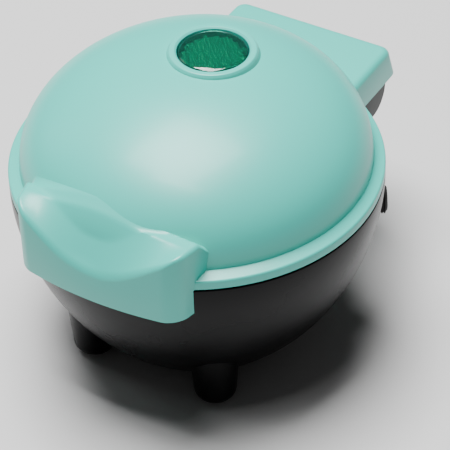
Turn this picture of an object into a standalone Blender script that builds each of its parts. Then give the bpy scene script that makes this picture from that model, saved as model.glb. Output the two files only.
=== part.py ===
"""Mini waffle bowl maker: a domed lid hinged on a deep black base.

Metres, +Z up. The front is -Y, where the handle is, and the hinge is at +Y. The origin is on the
table, under the centre of the whole object's box. Inside the script every piece is drawn in the body's
own frame, with Z = 0 at the seam between lid and base and X = Y = 0 on the bowl's axis. Two empties
place that frame: the base stands on its feet, and the lid hangs on the hinge axis.
"""

import math

import bmesh
import bpy
from mathutils import Matrix, Vector

# Overall shape
RIM_RADIUS = 0.0675
SEAM_HEIGHT = 0.0734
WALL = 0.0026
CLEARANCE = 0.0003
SEAM_GAP = 0.0004

# Lid
RIM_HEIGHT = 0.0037
LEDGE_WIDTH = 0.0043
LEDGE_RISE = 0.0014
DOME_HEIGHT = 0.0360
DOME_POWER = 2.18
DOME_LEAN = 0.0062
LEDGE_SKIN = 0.0012

# Handle, which is moulded with the lid
HANDLE_REACH = 0.0032
HANDLE_HALF_WIDTH = 0.0325
HANDLE_FLARE = 0.0040
HANDLE_BOW = 0.0036
HANDLE_DROP = 0.0098
HANDLE_CORNER = 0.0032
HORN_HEIGHT = 0.0173
SCOOP_START = 0.0088
SCOOP_HALF_WIDTH = 0.0295
SCOOP_SLOPE = 1.29

# Hinge box, which is moulded with the lid
BOX_HALF_WIDTH = 0.0330
BOX_TOP = 0.0072
BOX_DROP = 0.0069
BOX_REACH = 0.0262
BOX_RAKE = 0.376
BOX_CORNER = 0.0025
BOX_WALL = 0.0020

# Hinge
HINGE_REACH = 0.0115
HINGE_DROP = 0.0110
PIN_RADIUS = 0.0015
CHEEK_RADIUS = 0.0100
CHEEK_WIDTH = 0.0064
LUG_RADIUS = 0.0075
LUG_WIDTH = 0.0064
SIDE_GAP = 0.0006
WEB_DROP = 0.0030
TOE_DEPTH = 0.0088
STOP_REACH = 0.0095

# Indicator
LENS_RADIUS = 0.0126
LENS_BACK = 0.0135
COLLAR_WIDTH = 0.0035
COLLAR_RISE = 0.0012
LENS_CROWN = 0.0012
LENS_FLANGE = 0.0023

# Base
BAND_HEIGHT = 0.0030
BOWL_DEPTH = 0.0660
BOWL_FULL_DEPTH = 0.0808
BOWL_POWER = 1.8
FLOOR = 0.0046
LEG_SPREAD = 0.0261
LEG_REACH = 0.0348
LEG_TIP_RADIUS = 0.0076
LEG_TIP_FILLET = 0.0045
LEG_ROOT_RADIUS = 0.0098
LEG_ROOT_RISE = 0.0300
PAD_RADIUS = 0.0026
PAD_PROUD = 0.0010
COVER_RADIUS = 0.0245
COVER_THICKNESS = 0.0019
COVER_SCREW_INSET = 0.0034
VENT_COUNT = 5
VENT_PITCH = 0.0065
VENT_WIDTH = 0.0025
GLAND_ANGLE = math.radians(32)
GLAND_RADIUS = 0.0055
GLAND_DROP = 0.0190
GLAND_PROUD = 0.0010
GLAND_BORE = 0.0019

# Cooking plates and their frames
FRAME_WIDTH = 0.0086
FRAME_LIP = 0.0017
FRAME_DEPTH = 0.0050
SCREW_INSET = 0.0062
PLATE = 0.0024
FLANGE_WIDTH = 0.0035
CAVITY_DEPTH = 0.0391
CAVITY_DRAFT = math.radians(23.8)
BATTER_GAP = 0.0058
PLATE_SEAM = 0.0012
CAVITY_FILLET = 0.0060

# Heating and wiring
ELEMENT_RADIUS = 0.0032
ELEMENT_RING = 0.0200
ELEMENT_GAP = math.radians(34)
ELEMENT_TAIL = 0.0090
THERMOSTAT_RADIUS = 0.0070
THERMOSTAT_HEIGHT = 0.0068
SHIELD = 0.0006
LEAD_RADIUS = 0.0017

SCREW_SHANK = 0.0014
SCREW_HEAD = 0.0024

BOX_NOSE = BOX_CORNER / 2 * (BOX_RAKE + math.hypot(1, BOX_RAKE) - 1)
AXIS_Y = (HANDLE_REACH - BOX_REACH + BOX_NOSE) / 2
HINGE_Y = RIM_RADIUS + HINGE_REACH
DOME_FOOT = RIM_HEIGHT + LEDGE_RISE
DOME_RADIUS = RIM_RADIUS - LEDGE_WIDTH
BORE = RIM_RADIUS - WALL
FRAME_OUTER = BORE - CLEARANCE
FRAME_INNER = FRAME_OUTER - FRAME_WIDTH
PLATE_RADIUS = FRAME_INNER - CLEARANCE
MOUTH_RADIUS = PLATE_RADIUS - FLANGE_WIDTH
SCREW_CIRCLE = FRAME_OUTER - SCREW_INSET
BASE_CLEARANCE = RIM_RADIUS + 2 * CLEARANCE
FAR = 0.2

ROUND_STEPS = 48
PLATE_STEPS = 36
SMALL_STEPS = 16


# ---------------------------------------------------------------- scene

for old in list(bpy.data.objects):
    bpy.data.objects.remove(old, do_unlink=True)

parts = bpy.data.collections.new("waffle_bowl_maker")
cutters = bpy.data.collections.new("cutters")
for folder in (parts, cutters):
    bpy.context.scene.collection.children.link(folder)


def empty(name, location):
    """An empty that places one body's pieces."""
    holder = bpy.data.objects.new(name, None)
    holder.location = location
    parts.objects.link(holder)
    return holder


BASE = empty("base_frame", (0, AXIS_Y, SEAM_HEIGHT))
LID = empty("lid_hinge", (0, AXIS_Y + HINGE_Y, SEAM_HEIGHT - HINGE_DROP))


def material(name, colour, roughness, metallic=0.0):
    """A Principled material."""
    made = bpy.data.materials.new(name)
    made.use_nodes = True
    shader = made.node_tree.nodes["Principled BSDF"]
    shader.inputs["Base Color"].default_value = (*colour, 1)
    shader.inputs["Roughness"].default_value = roughness
    shader.inputs["Metallic"].default_value = metallic
    return made


MINT = (0.40, 0.71, 0.69)
BLACK = (0.010, 0.010, 0.011)
NONSTICK = (0.025, 0.025, 0.027)
STEEL = (0.60, 0.60, 0.62)
ALUMINIUM = (0.72, 0.72, 0.74)
WHITE = (0.78, 0.77, 0.74)


def place(obj, body, folder=parts):
    """Hangs an object drawn in the body's own frame on that body's empty."""
    folder.objects.link(obj)
    obj.parent = body
    if body is LID:
        obj.location = (0, -HINGE_Y, HINGE_DROP)
    if folder is cutters:
        obj.hide_render = True
        obj.display_type = "WIRE"
    return obj


def from_bmesh(name, shape, body, folder=cutters):
    """Makes a placed object from a bmesh and frees it."""
    bmesh.ops.recalc_face_normals(shape, faces=shape.faces)
    mesh = bpy.data.meshes.new(name)
    shape.to_mesh(mesh)
    shape.free()
    return place(bpy.data.objects.new(name, mesh), body, folder)


def turned(name, profile, body, folder=cutters, steps=ROUND_STEPS, centre=(0, 0)):
    """A turned shape: (radius, height) points, down the outer side and back up the inner one."""
    mesh = bpy.data.meshes.new(name)
    closed = profile[0][0] > 0 or profile[-1][0] > 0
    edges = [(i, i + 1) for i in range(len(profile) - 1)]
    if closed:
        edges.append((len(profile) - 1, 0))
    mesh.from_pydata([(r, 0, z) for r, z in profile], edges, [])
    obj = place(bpy.data.objects.new(name, mesh), body, folder)
    obj.location += Vector((*centre, 0))
    screw = obj.modifiers.new("turn", "SCREW")
    screw.steps = screw.render_steps = steps
    screw.use_merge_vertices = True
    screw.merge_threshold = 0.00001
    screw.use_smooth_shade = True
    return obj


def prism(name, outline, axis, low, high, body, folder=cutters):
    """A flat outline filled and extruded from low to high along the Z or the X axis."""
    curve = bpy.data.curves.new(name, "CURVE")
    curve.dimensions = "2D"
    curve.fill_mode = "BOTH"
    curve.extrude = (high - low) / 2
    spline = curve.splines.new("POLY")
    spline.points.add(len(outline) - 1)
    spline.use_cyclic_u = True
    for point, (u, v) in zip(spline.points, outline):
        point.co = (u, v, 0, 1)
    flat = bpy.data.objects.new(name + "_outline", curve)
    bpy.context.scene.collection.objects.link(flat)
    graph = bpy.context.evaluated_depsgraph_get()
    mesh = bpy.data.meshes.new_from_object(flat.evaluated_get(graph))
    bpy.data.objects.remove(flat, do_unlink=True)
    shape = bmesh.new()
    shape.from_mesh(mesh)
    bmesh.ops.remove_doubles(shape, verts=shape.verts, dist=0.000001)
    bmesh.ops.translate(shape, verts=shape.verts, vec=(0, 0, (low + high) / 2))
    if axis == "X":
        turn = Matrix(((0, 0, 1), (1, 0, 0), (0, 1, 0)))
        bmesh.ops.transform(shape, verts=shape.verts, matrix=turn.to_4x4())
    return from_bmesh(name, shape, body, folder)


def block(name, low, high, body, folder=cutters):
    """A box between two corners."""
    shape = bmesh.new()
    size = Vector(high) - Vector(low)
    bmesh.ops.create_cube(shape, size=1)
    bmesh.ops.scale(shape, verts=shape.verts, vec=size)
    bmesh.ops.translate(shape, verts=shape.verts, vec=Vector(low) + size / 2)
    return from_bmesh(name, shape, body, folder)


def rod(name, start, end, radius, body, folder=cutters, steps=SMALL_STEPS, end_radius=None):
    """A cylinder, or a cone with its own end radius, between two points."""
    start, end = Vector(start), Vector(end)
    shape = bmesh.new()
    bmesh.ops.create_cone(
        shape,
        cap_ends=True,
        segments=steps,
        radius1=radius,
        radius2=radius if end_radius is None else end_radius,
        depth=(end - start).length,
    )
    turn = Vector((0, 0, 1)).rotation_difference(end - start).to_matrix().to_4x4()
    matrix = Matrix.Translation((start + end) / 2) @ turn
    bmesh.ops.transform(shape, verts=shape.verts, matrix=matrix)
    return from_bmesh(name, shape, body, folder)


def wire(name, points, radius, body, folder=parts):
    """A tube along a smooth route, ready to be cut."""
    curve = bpy.data.curves.new(name, "CURVE")
    curve.dimensions = "3D"
    curve.bevel_depth = radius
    curve.bevel_resolution = 2
    curve.use_fill_caps = True
    spline = curve.splines.new("POLY")
    spline.points.add(len(points) - 1)
    for point, place_at in zip(spline.points, points):
        point.co = (*place_at, 1)
    guide = bpy.data.objects.new(name + "_route", curve)
    bpy.context.scene.collection.objects.link(guide)
    graph = bpy.context.evaluated_depsgraph_get()
    mesh = bpy.data.meshes.new_from_object(guide.evaluated_get(graph))
    bpy.data.objects.remove(guide, do_unlink=True)
    shape = bmesh.new()
    shape.from_mesh(mesh)
    bmesh.ops.remove_doubles(shape, verts=shape.verts, dist=0.000001)
    return from_bmesh(name, shape, body, folder)


def combine(target, operation, *others):
    """Adds one Boolean modifier for each other object."""
    for other in others:
        step = target.modifiers.new(operation.lower(), "BOOLEAN")
        step.operation = operation
        step.object = other
        step.solver = "EXACT"
    return target


def cut(target, *others):
    return combine(target, "DIFFERENCE", *others)


def join(target, *others):
    return combine(target, "UNION", *others)


def weld(obj):
    """Merges the points that a Boolean left in one place."""
    step = obj.modifiers.new("weld", "WELD")
    step.merge_threshold = 0.00001
    return obj


def finish(obj, name, colour, roughness, metallic=0.0):
    """Gives a piece its material and smooth shading."""
    obj.data.materials.clear()
    obj.data.materials.append(material(name, colour, roughness, metallic))
    obj.data.shade_smooth()
    return obj


def smooth_route(points, count):
    """Points on a Catmull-Rom curve through the route's own points."""
    points = [Vector(p) for p in points]
    points = [2 * points[0] - points[1], *points, 2 * points[-1] - points[-2]]
    made = []
    for a, b, c, d in zip(points, points[1:], points[2:], points[3:]):
        for i in range(count):
            t = i / count
            made.append(
                0.5 * (2 * b + (c - a) * t + (2 * a - 5 * b + 4 * c - d) * t**2
                       + (3 * b - a - 3 * c + d) * t**3)
            )
    return [*made, points[-2]]


def rounded(outline, radii, steps=4):
    """The outline with an arc of its own radius at each corner."""
    made = []
    count = len(outline)
    for i, radius in enumerate(radii):
        corner = Vector(outline[i])
        before = (Vector(outline[i - 1]) - corner).normalized()
        after = (Vector(outline[(i + 1) % count]) - corner).normalized()
        if radius == 0:
            made.append(tuple(corner))
            continue
        half = before.angle(after) / 2
        centre = corner + (before + after).normalized() * radius / math.sin(half)
        first = corner + before * radius / math.tan(half) - centre
        turn = math.pi - 2 * half
        if before.cross(after) > 0:
            turn = -turn
        for step in range(steps + 1):
            spoke = first.copy()
            spoke.rotate(Matrix.Rotation(turn * step / steps, 2))
            made.append(tuple(centre + spoke))
    return made


def oval(radius, height, power, share=1.0, count=9):
    """Quarter of a superellipse, from the wide end to a share of its height."""
    made = []
    for i in range(count + 1):
        rise = math.sin(i / count * math.asin(share))
        made.append((radius * (1 - rise**power) ** (1 / power), height * rise))
    return made


def around(radius, count, first=math.pi / 4):
    """Places evenly spaced on a circle."""
    angles = [first + 2 * math.pi * i / count for i in range(count)]
    return [(radius * math.cos(a), radius * math.sin(a)) for a in angles]


# ---------------------------------------------------------------- lid

def leaning_dome(name, profile, foot, height, folder):
    """A turned dome whose level sections move back towards the top."""
    whole = turned(name + "_upright", profile, LID)
    graph = bpy.context.evaluated_depsgraph_get()
    mesh = bpy.data.meshes.new_from_object(whole.evaluated_get(graph))
    bpy.data.objects.remove(whole, do_unlink=True)
    for vertex in mesh.vertices:
        rise = max(0.0, (vertex.co.z - foot) / height)
        vertex.co.y += DOME_LEAN * rise**2
    return place(bpy.data.objects.new(name, mesh), LID, folder)


def handle_solid():
    """The handle as a block with a scooped top, cut to clear the base."""
    front = -(RIM_RADIUS + HANDLE_REACH)
    side = HANDLE_HALF_WIDTH
    shoulder = front + HANDLE_BOW
    back = -(RIM_RADIUS - 0.0225)
    bow = [
        (side * t, front + HANDLE_BOW * t**2) for t in (-0.7, -0.45, -0.2, 0.0, 0.2, 0.45, 0.7)
    ]
    wide = side + HANDLE_FLARE
    outline = [(wide, back), (-wide, back), (-side, shoulder), *bow, (side, shoulder)]
    radii = [0, 0, HANDLE_CORNER, *[0] * len(bow), HANDLE_CORNER]
    shape = prism("handle", rounded(outline, radii), "Z", -HANDLE_DROP, HORN_HEIGHT, LID)
    scoop = bmesh.new()
    bmesh.ops.create_grid(scoop, x_segments=16, y_segments=6, size=0.5)
    reach = 0.030
    for vertex in scoop.verts:
        x = vertex.co.x * 2.4 * side
        y = -(RIM_RADIUS - SCOOP_START) + (vertex.co.y - 0.5) * reach
        depth = SCOOP_SLOPE * (0.5 - vertex.co.y) * reach
        share = min(1.0, abs(x) / SCOOP_HALF_WIDTH)
        vertex.co = (x, y, HORN_HEIGHT + CLEARANCE / 3 - depth * (1 - share**2))
    lifted = bmesh.ops.extrude_face_region(scoop, geom=list(scoop.faces))
    for item in lifted["geom"]:
        if isinstance(item, bmesh.types.BMVert):
            item.co.z = HORN_HEIGHT + 0.01
    cut(shape, from_bmesh("handle_scoop", scoop, LID))
    cut(shape, base_clearance("handle_clearance"))
    return shape


def base_clearance(name):
    """A plug as wide as the base with its clearance, up to just above the seam."""
    return rod(name, (0, 0, -0.03), (0, 0, CLEARANCE), BASE_CLEARANCE, LID, steps=ROUND_STEPS)


def hinge_box_solid():
    """The hinge box, hollow from below, with the two lugs that hang on the pins."""
    back = RIM_RADIUS + BOX_REACH
    top_back = back - BOX_RAKE * (BOX_TOP + BOX_DROP)
    front = RIM_RADIUS - 0.0175
    outline = [(front, BOX_TOP), (top_back, BOX_TOP), (back, -BOX_DROP), (front, -BOX_DROP)]
    side = rounded(outline, [0, BOX_CORNER, BOX_CORNER / 2, 0])
    shape = prism("hinge_box", side, "X", -BOX_HALF_WIDTH, BOX_HALF_WIDTH, LID)
    soften = shape.modifiers.new("soften", "BEVEL")
    soften.width = BOX_CORNER / 2
    soften.segments = 2
    soften.limit_method = "ANGLE"
    soften.angle_limit = math.radians(60)
    cut(shape, base_clearance("box_clearance"))
    inner_top = BOX_TOP - BOX_WALL
    inner_back = back - BOX_WALL * math.hypot(1, BOX_RAKE)
    inner = [
        (front - 0.01, inner_top),
        (inner_back - BOX_RAKE * (inner_top + BOX_DROP), inner_top),
        (inner_back + BOX_RAKE * BOX_WALL, -BOX_DROP - BOX_WALL),
        (front - 0.01, -BOX_DROP - BOX_WALL),
    ]
    half = BOX_HALF_WIDTH - BOX_WALL
    hollow = prism("box_hollow", inner, "X", -half, half, LID)
    cut(hollow, rod("rim_keep", (0, 0, -0.03), (0, 0, 0.03), BASE_CLEARANCE, LID, steps=ROUND_STEPS))
    cut(shape, hollow)
    for sign in (-1, 1):
        outer = sign * (LUG_OUTER - LUG_WIDTH)
        ends = sorted((outer, sign * LUG_OUTER))
        eye = rod(
            f"lug_eye_{sign}",
            (ends[0], HINGE_Y, -HINGE_DROP),
            (ends[1], HINGE_Y, -HINGE_DROP),
            LUG_RADIUS,
            LID,
            steps=24,
        )
        arm = block(
            f"lug_arm_{sign}",
            (ends[0], HINGE_Y - 0.8 * LUG_RADIUS, -HINGE_DROP),
            (ends[1], HINGE_Y + 0.8 * LUG_RADIUS, BOX_TOP - BOX_WALL / 2),
            LID,
        )
        toe = block(
            f"lug_toe_{sign}",
            (ends[0], HINGE_Y + 0.0005, -HINGE_DROP - TOE_DEPTH),
            (ends[1], HINGE_Y + 0.8 * LUG_RADIUS, -HINGE_DROP + 0.0010),
            LID,
        )
        join(shape, arm, eye, toe)
    return shape


CHEEK_OUTER = BOX_HALF_WIDTH - BOX_WALL - SIDE_GAP
LUG_OUTER = CHEEK_OUTER - CHEEK_WIDTH - SIDE_GAP
PIN_END = CHEEK_OUTER - 0.0015
PIN_START = LUG_OUTER - LUG_WIDTH
COLLAR_TOP = DOME_FOOT + DOME_HEIGHT + COLLAR_RISE
LENS_SEAT = COLLAR_TOP - 0.0040
COLLAR_RADIUS = LENS_RADIUS + COLLAR_WIDTH
POCKET_RADIUS = LENS_RADIUS + LENS_FLANGE + CLEARANCE


def lid_shell():
    """Dome, rim, handle, collar and hinge box as one moulding."""
    dome = oval(DOME_RADIUS, DOME_HEIGHT, DOME_POWER)
    outer = [(r, DOME_FOOT + z) for r, z in reversed(dome)]
    outer += [(RIM_RADIUS - 0.0007, RIM_HEIGHT), (RIM_RADIUS, RIM_HEIGHT - 0.0009), (RIM_RADIUS, 0), (0, 0)]
    shell = leaning_dome("lid_shell", outer, DOME_FOOT, DOME_HEIGHT, parts)
    collar = [
        (0, COLLAR_TOP),
        (COLLAR_RADIUS - 0.0015, COLLAR_TOP),
        (COLLAR_RADIUS, COLLAR_TOP - 0.0008),
        (POCKET_RADIUS + 0.0022, COLLAR_TOP - 0.0022),
        (POCKET_RADIUS + 0.0022, LENS_SEAT - 0.0050),
        (0, LENS_SEAT - 0.0050),
    ]
    ring = turned("collar", collar, LID, steps=32, centre=(0, LENS_BACK))
    join(shell, handle_solid(), hinge_box_solid())
    inside = oval(DOME_RADIUS - WALL, DOME_HEIGHT - WALL, DOME_POWER)
    hollow = [(r, DOME_FOOT + z) for r, z in reversed(inside)]
    ceiling = RIM_HEIGHT - LEDGE_SKIN
    hollow += [(DOME_RADIUS - WALL, ceiling), (BORE, ceiling), (BORE, -0.001), (0, -0.001)]
    cut(shell, leaning_dome("lid_hollow", hollow, DOME_FOOT, DOME_HEIGHT - WALL, cutters))
    weld(shell)
    join(shell, ring)
    weld(shell)
    bore = [
        (0, COLLAR_TOP + 0.01),
        (LENS_RADIUS + CLEARANCE, COLLAR_TOP + 0.01),
        (LENS_RADIUS + CLEARANCE, LENS_SEAT),
        (POCKET_RADIUS, LENS_SEAT),
        (POCKET_RADIUS, LENS_SEAT - 0.02),
        (0, LENS_SEAT - 0.02),
    ]
    cut(shell, turned("lens_bore", bore, LID, steps=32, centre=(0, LENS_BACK)))
    bottom = FRAME_TOP + CLEARANCE
    for i, (x, y) in enumerate(around(SCREW_CIRCLE, 4)):
        join(shell, rod(f"lid_boss_{i}", (x, y, bottom), (x, y, bottom + 0.0054), 0.0032, LID))
        hole = (x, y, 0), (x, y, bottom + 0.0044)
        cut(shell, rod(f"lid_boss_hole_{i}", *hole, SCREW_SHANK + CLEARANCE, LID))
    cut(shell, lead_channel("lid_channel", RIM_RADIUS + 0.004))
    pin_hole = PIN_RADIUS + CLEARANCE
    for sign in (-1, 1):
        ends = [(sign * x, HINGE_Y, -HINGE_DROP) for x in (PIN_START - 0.002, LUG_OUTER + 0.0003)]
        cut(shell, rod(f"lug_hole_{sign}", *ends, pin_hole, LID))
    return finish(shell, "mint_moulding", MINT, 0.22)


FRAME_BOTTOM = CLEARANCE
FRAME_TOP = FRAME_BOTTOM + FRAME_DEPTH


def lead_channel(name, back):
    """The way from the hinge box into the dome, for the lead."""
    x = 3 * LEAD_RADIUS
    reach = LEAD_RADIUS + 2 * CLEARANCE
    low = (x - reach, FRAME_INNER - FRAME_LIP - 0.004, CHANNEL_Z - reach)
    return block(name, low, (x + reach, back, CHANNEL_Z + reach + 0.0006), LID)


CHANNEL_Z = RIM_HEIGHT - CLEARANCE


def upper_frame():
    """The ring that closes the lid round the plate."""
    shelf = RIM_HEIGHT - LEDGE_SKIN - CLEARANCE
    inside = DOME_RADIUS - WALL - CLEARANCE
    profile = [
        (FRAME_INNER - FRAME_LIP, FRAME_TOP),
        (inside, FRAME_TOP),
        (inside, shelf),
        (FRAME_OUTER, shelf),
        (FRAME_OUTER, FRAME_BOTTOM),
        (FRAME_INNER, FRAME_BOTTOM),
        (FRAME_INNER, FRAME_BOTTOM + PLATE + CLEARANCE),
        (FRAME_INNER - FRAME_LIP, FRAME_BOTTOM + PLATE + CLEARANCE),
    ]
    ring = turned("upper_frame", profile, LID, parts)
    for i, (x, y) in enumerate(around(SCREW_CIRCLE, 4)):
        cut(ring, rod(f"upper_screw_way_{i}", (x, y, -0.01), (x, y, 0.01), SCREW_SHANK + CLEARANCE, LID))
        head = SCREW_HEAD + CLEARANCE
        cut(ring, rod(f"upper_head_way_{i}", (x, y, -0.01), (x, y, FRAME_BOTTOM + 0.0016), head, LID))
        pin_screw(f"upper_frame_screw_{i + 1}", (x, y, FRAME_BOTTOM + 0.0001), 1, 0.0080, LID)
    notch = lead_channel("frame_notch", RIM_RADIUS)
    cut(ring, notch)
    return finish(ring, "black_phenolic", BLACK, 0.45)


def pin_screw(name, head_at, way, length, body):
    """A pan-head screw. Its head's outer face is at head_at and its shank runs along way times Z."""
    x, y, z = head_at
    profile = [
        (0, z + way * length),
        (SCREW_SHANK, z + way * (length - 0.0004)),
        (SCREW_SHANK, z + way * 0.0012),
        (SCREW_HEAD, z + way * 0.0012),
        (SCREW_HEAD, z + way * 0.0004),
        (0.8 * SCREW_HEAD, z),
        (0, z),
    ]
    if way < 0:
        profile.reverse()
    screw = turned(name, profile, body, parts, steps=12, centre=(x, y))
    return finish(screw, "zinc_screw", STEEL, 0.35, 1.0)


def bowl_line(mouth, top, floor_z, fillet, draft, steps=5):
    """The tapered wall and filleted floor of a bowl, from its mouth to the axis."""
    run = (top - floor_z) * math.tan(draft)
    corner = mouth - run
    half = (math.pi / 2 + draft) / 2
    reach = fillet / math.tan(half)
    centre_r = corner - reach
    centre_z = floor_z + fillet
    made = [(mouth, top)]
    sweep = math.pi / 2 - draft
    for i in range(steps + 1):
        angle = -draft - sweep * i / steps
        made.append((centre_r + fillet * math.cos(angle), centre_z + fillet * math.sin(angle)))
    return [*made, (0, floor_z)]


def lower_plate():
    """The hollow lower plate, one thin casting with a flange."""
    top = -SEAM_GAP - 0.0005
    floor_z = top - CAVITY_DEPTH
    face = bowl_line(MOUTH_RADIUS, top, floor_z, CAVITY_FILLET, CAVITY_DRAFT)
    back_mouth = MOUTH_RADIUS + PLATE / math.cos(CAVITY_DRAFT) - PLATE * math.tan(CAVITY_DRAFT)
    back = bowl_line(back_mouth, top - PLATE, floor_z - PLATE, CAVITY_FILLET + PLATE, CAVITY_DRAFT)
    profile = [(PLATE_RADIUS, top), (PLATE_RADIUS, top - PLATE), *back, *reversed(face)]
    plate = turned("lower_plate", profile, BASE, parts, PLATE_STEPS)
    return finish(plate, "nonstick_aluminium", NONSTICK, 0.35, 0.3)


UPPER_MOUTH = MOUTH_RADIUS - (BATTER_GAP + PLATE_SEAM * math.sin(CAVITY_DRAFT)) / math.cos(CAVITY_DRAFT)
UPPER_FLOOR = -SEAM_GAP - 0.0005 - CAVITY_DEPTH + BATTER_GAP
LOWER_FLOOR = -SEAM_GAP - 0.0005 - CAVITY_DEPTH


def upper_plate():
    """The upper plate, whose bowl reaches down into the lower one."""
    bottom = FRAME_BOTTOM
    fillet = CAVITY_FILLET
    face = bowl_line(UPPER_MOUTH, bottom, UPPER_FLOOR, fillet, CAVITY_DRAFT)
    inner_mouth = UPPER_MOUTH - PLATE / math.cos(CAVITY_DRAFT) + PLATE * math.tan(CAVITY_DRAFT)
    inner = bowl_line(inner_mouth, bottom + PLATE, UPPER_FLOOR + PLATE, fillet - PLATE, CAVITY_DRAFT)
    profile = [(PLATE_RADIUS, bottom + PLATE), (PLATE_RADIUS, bottom), *face, *reversed(inner)]
    plate = turned("upper_plate", profile, LID, parts, PLATE_STEPS)
    return finish(plate, "nonstick_aluminium_upper", NONSTICK, 0.35, 0.3)


def heating(prefix, floor_z, way, body):
    """Element, clamp, thermostat and fuse on the back of a plate. Way is +1 above it and -1 below."""
    centre_z = floor_z + way * (ELEMENT_RADIUS + CLEARANCE)
    ring = []
    for i in range(29):
        angle = ELEMENT_GAP / 2 + (2 * math.pi - ELEMENT_GAP) * i / 28 - math.pi / 2
        ring.append((ELEMENT_RING * math.cos(angle), ELEMENT_RING * math.sin(angle), centre_z))
    first, last = Vector(ring[0]), Vector(ring[-1])
    rise = Vector((0, 0, way * ELEMENT_TAIL))
    ring = [tuple(first + rise), tuple(first + rise * 0.3), *ring, tuple(last + rise * 0.3), tuple(last + rise)]
    tube = wire(f"{prefix}_element", ring, ELEMENT_RADIUS, body)
    finish(tube, "element_sheath", STEEL, 0.4, 1.0)
    start = centre_z + way * (ELEMENT_RADIUS + CLEARANCE)
    low, high = sorted((start, start + way * 0.0012))
    half = ELEMENT_RADIUS + 0.0025
    for sign, side in ((-1, "left"), (1, "right")):
        x = sign * ELEMENT_RING
        clamp = block(f"{prefix}_clamp_{side}", (x - half, -0.004, low), (x + half, 0.004, high), body, parts)
        finish(clamp, "clamp_steel", STEEL, 0.35, 1.0)
    start = floor_z + way * CLEARANCE
    body_z = start + way * THERMOSTAT_HEIGHT
    shape = rod(f"{prefix}_thermostat", (0, 0, start), (0, 0, body_z), THERMOSTAT_RADIUS, body, parts, 24)
    finish(shape, "thermostat_ceramic", WHITE, 0.5)
    fuse_z = floor_z + way * 0.0022
    ends = (-0.006, 0.0115, fuse_z), (0.006, 0.0115, fuse_z)
    fuse = rod(f"{prefix}_thermal_fuse", *ends, 0.0018, body, parts, 12)
    finish(fuse, "fuse_sleeve", WHITE, 0.5)


def upper_shield():
    """A pan that keeps the plate's heat from the dome. It stands on the plate's flange."""
    foot = FRAME_BOTTOM + PLATE + CLEARANCE
    radius = FRAME_INNER - FRAME_LIP - 3 * CLEARANCE
    top = FRAME_TOP + 0.0012
    inside = radius - SHIELD
    profile = [(0, top), (radius, top), (radius, foot), (inside, foot), (inside, top - SHIELD), (0, top - SHIELD)]
    pan = turned("upper_heat_shield", profile, LID, parts, PLATE_STEPS)
    cut(pan, rod("shield_lead_way", (0, 0.024, -0.01), (0, 0.024, 0.03), 0.006, LID))
    return finish(pan, "shield_aluminium", ALUMINIUM, 0.3, 1.0)


def lower_shield():
    """A deep pan round the lower plate. Its wall meets the underside of the frame."""
    top = BASE_FRAME_BOTTOM - CLEARANCE
    radius = FRAME_INNER - FRAME_LIP - CLEARANCE
    floor_z = LOWER_FLOOR - PLATE - 2 * ELEMENT_RADIUS - 0.0020
    knee = top - 0.0100
    pinch = 0.0160
    profile = [
        (radius - SHIELD, top),
        (radius, top),
        (radius, knee),
        (radius - pinch, floor_z - SHIELD),
        (0, floor_z - SHIELD),
        (0, floor_z),
        (radius - pinch - SHIELD / 2, floor_z),
        (radius - SHIELD, knee + SHIELD / 2),
    ]
    pan = turned("lower_heat_shield", profile, BASE, parts, PLATE_STEPS)
    angle = ELEMENT_GAP / 2
    for sign in (-1, 1):
        x, y = sign * ELEMENT_RING * math.sin(angle), -ELEMENT_RING * math.cos(angle)
        way = (x, y, floor_z - 0.01), (x, y, floor_z + 0.002)
        cut(pan, rod(f"tail_way_{sign}", *way, ELEMENT_RADIUS + 0.001, BASE))
    return finish(pan, "shield_aluminium_lower", ALUMINIUM, 0.3, 1.0)


BASE_FRAME_TOP = -SEAM_GAP - 0.0005
BASE_FRAME_BOTTOM = BASE_FRAME_TOP - FRAME_DEPTH


def lower_frame():
    """The ring that closes the base round the lower plate."""
    shelf = BASE_FRAME_TOP - PLATE - CLEARANCE
    profile = [
        (FRAME_INNER, BASE_FRAME_TOP),
        (FRAME_OUTER, BASE_FRAME_TOP),
        (FRAME_OUTER, BASE_FRAME_BOTTOM),
        (FRAME_INNER - FRAME_LIP, BASE_FRAME_BOTTOM),
        (FRAME_INNER - FRAME_LIP, shelf),
        (FRAME_INNER, shelf),
    ]
    ring = turned("lower_frame", profile, BASE, parts)
    for i, (x, y) in enumerate(around(SCREW_CIRCLE, 4)):
        top = BASE_FRAME_BOTTOM + 0.0034
        cut(ring, rod(f"lower_screw_way_{i}", (x, y, -0.02), (x, y, top), SCREW_SHANK + CLEARANCE, BASE))
        head_z = BASE_FRAME_BOTTOM - CLEARANCE - BASE_BOSS - CLEARANCE - 0.0012
        pin_screw(f"lower_frame_screw_{i + 1}", (x, y, head_z), 1, 0.0106, BASE)
    return finish(ring, "black_phenolic_lower", BLACK, 0.45)


BASE_BOSS = 0.0058


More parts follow.
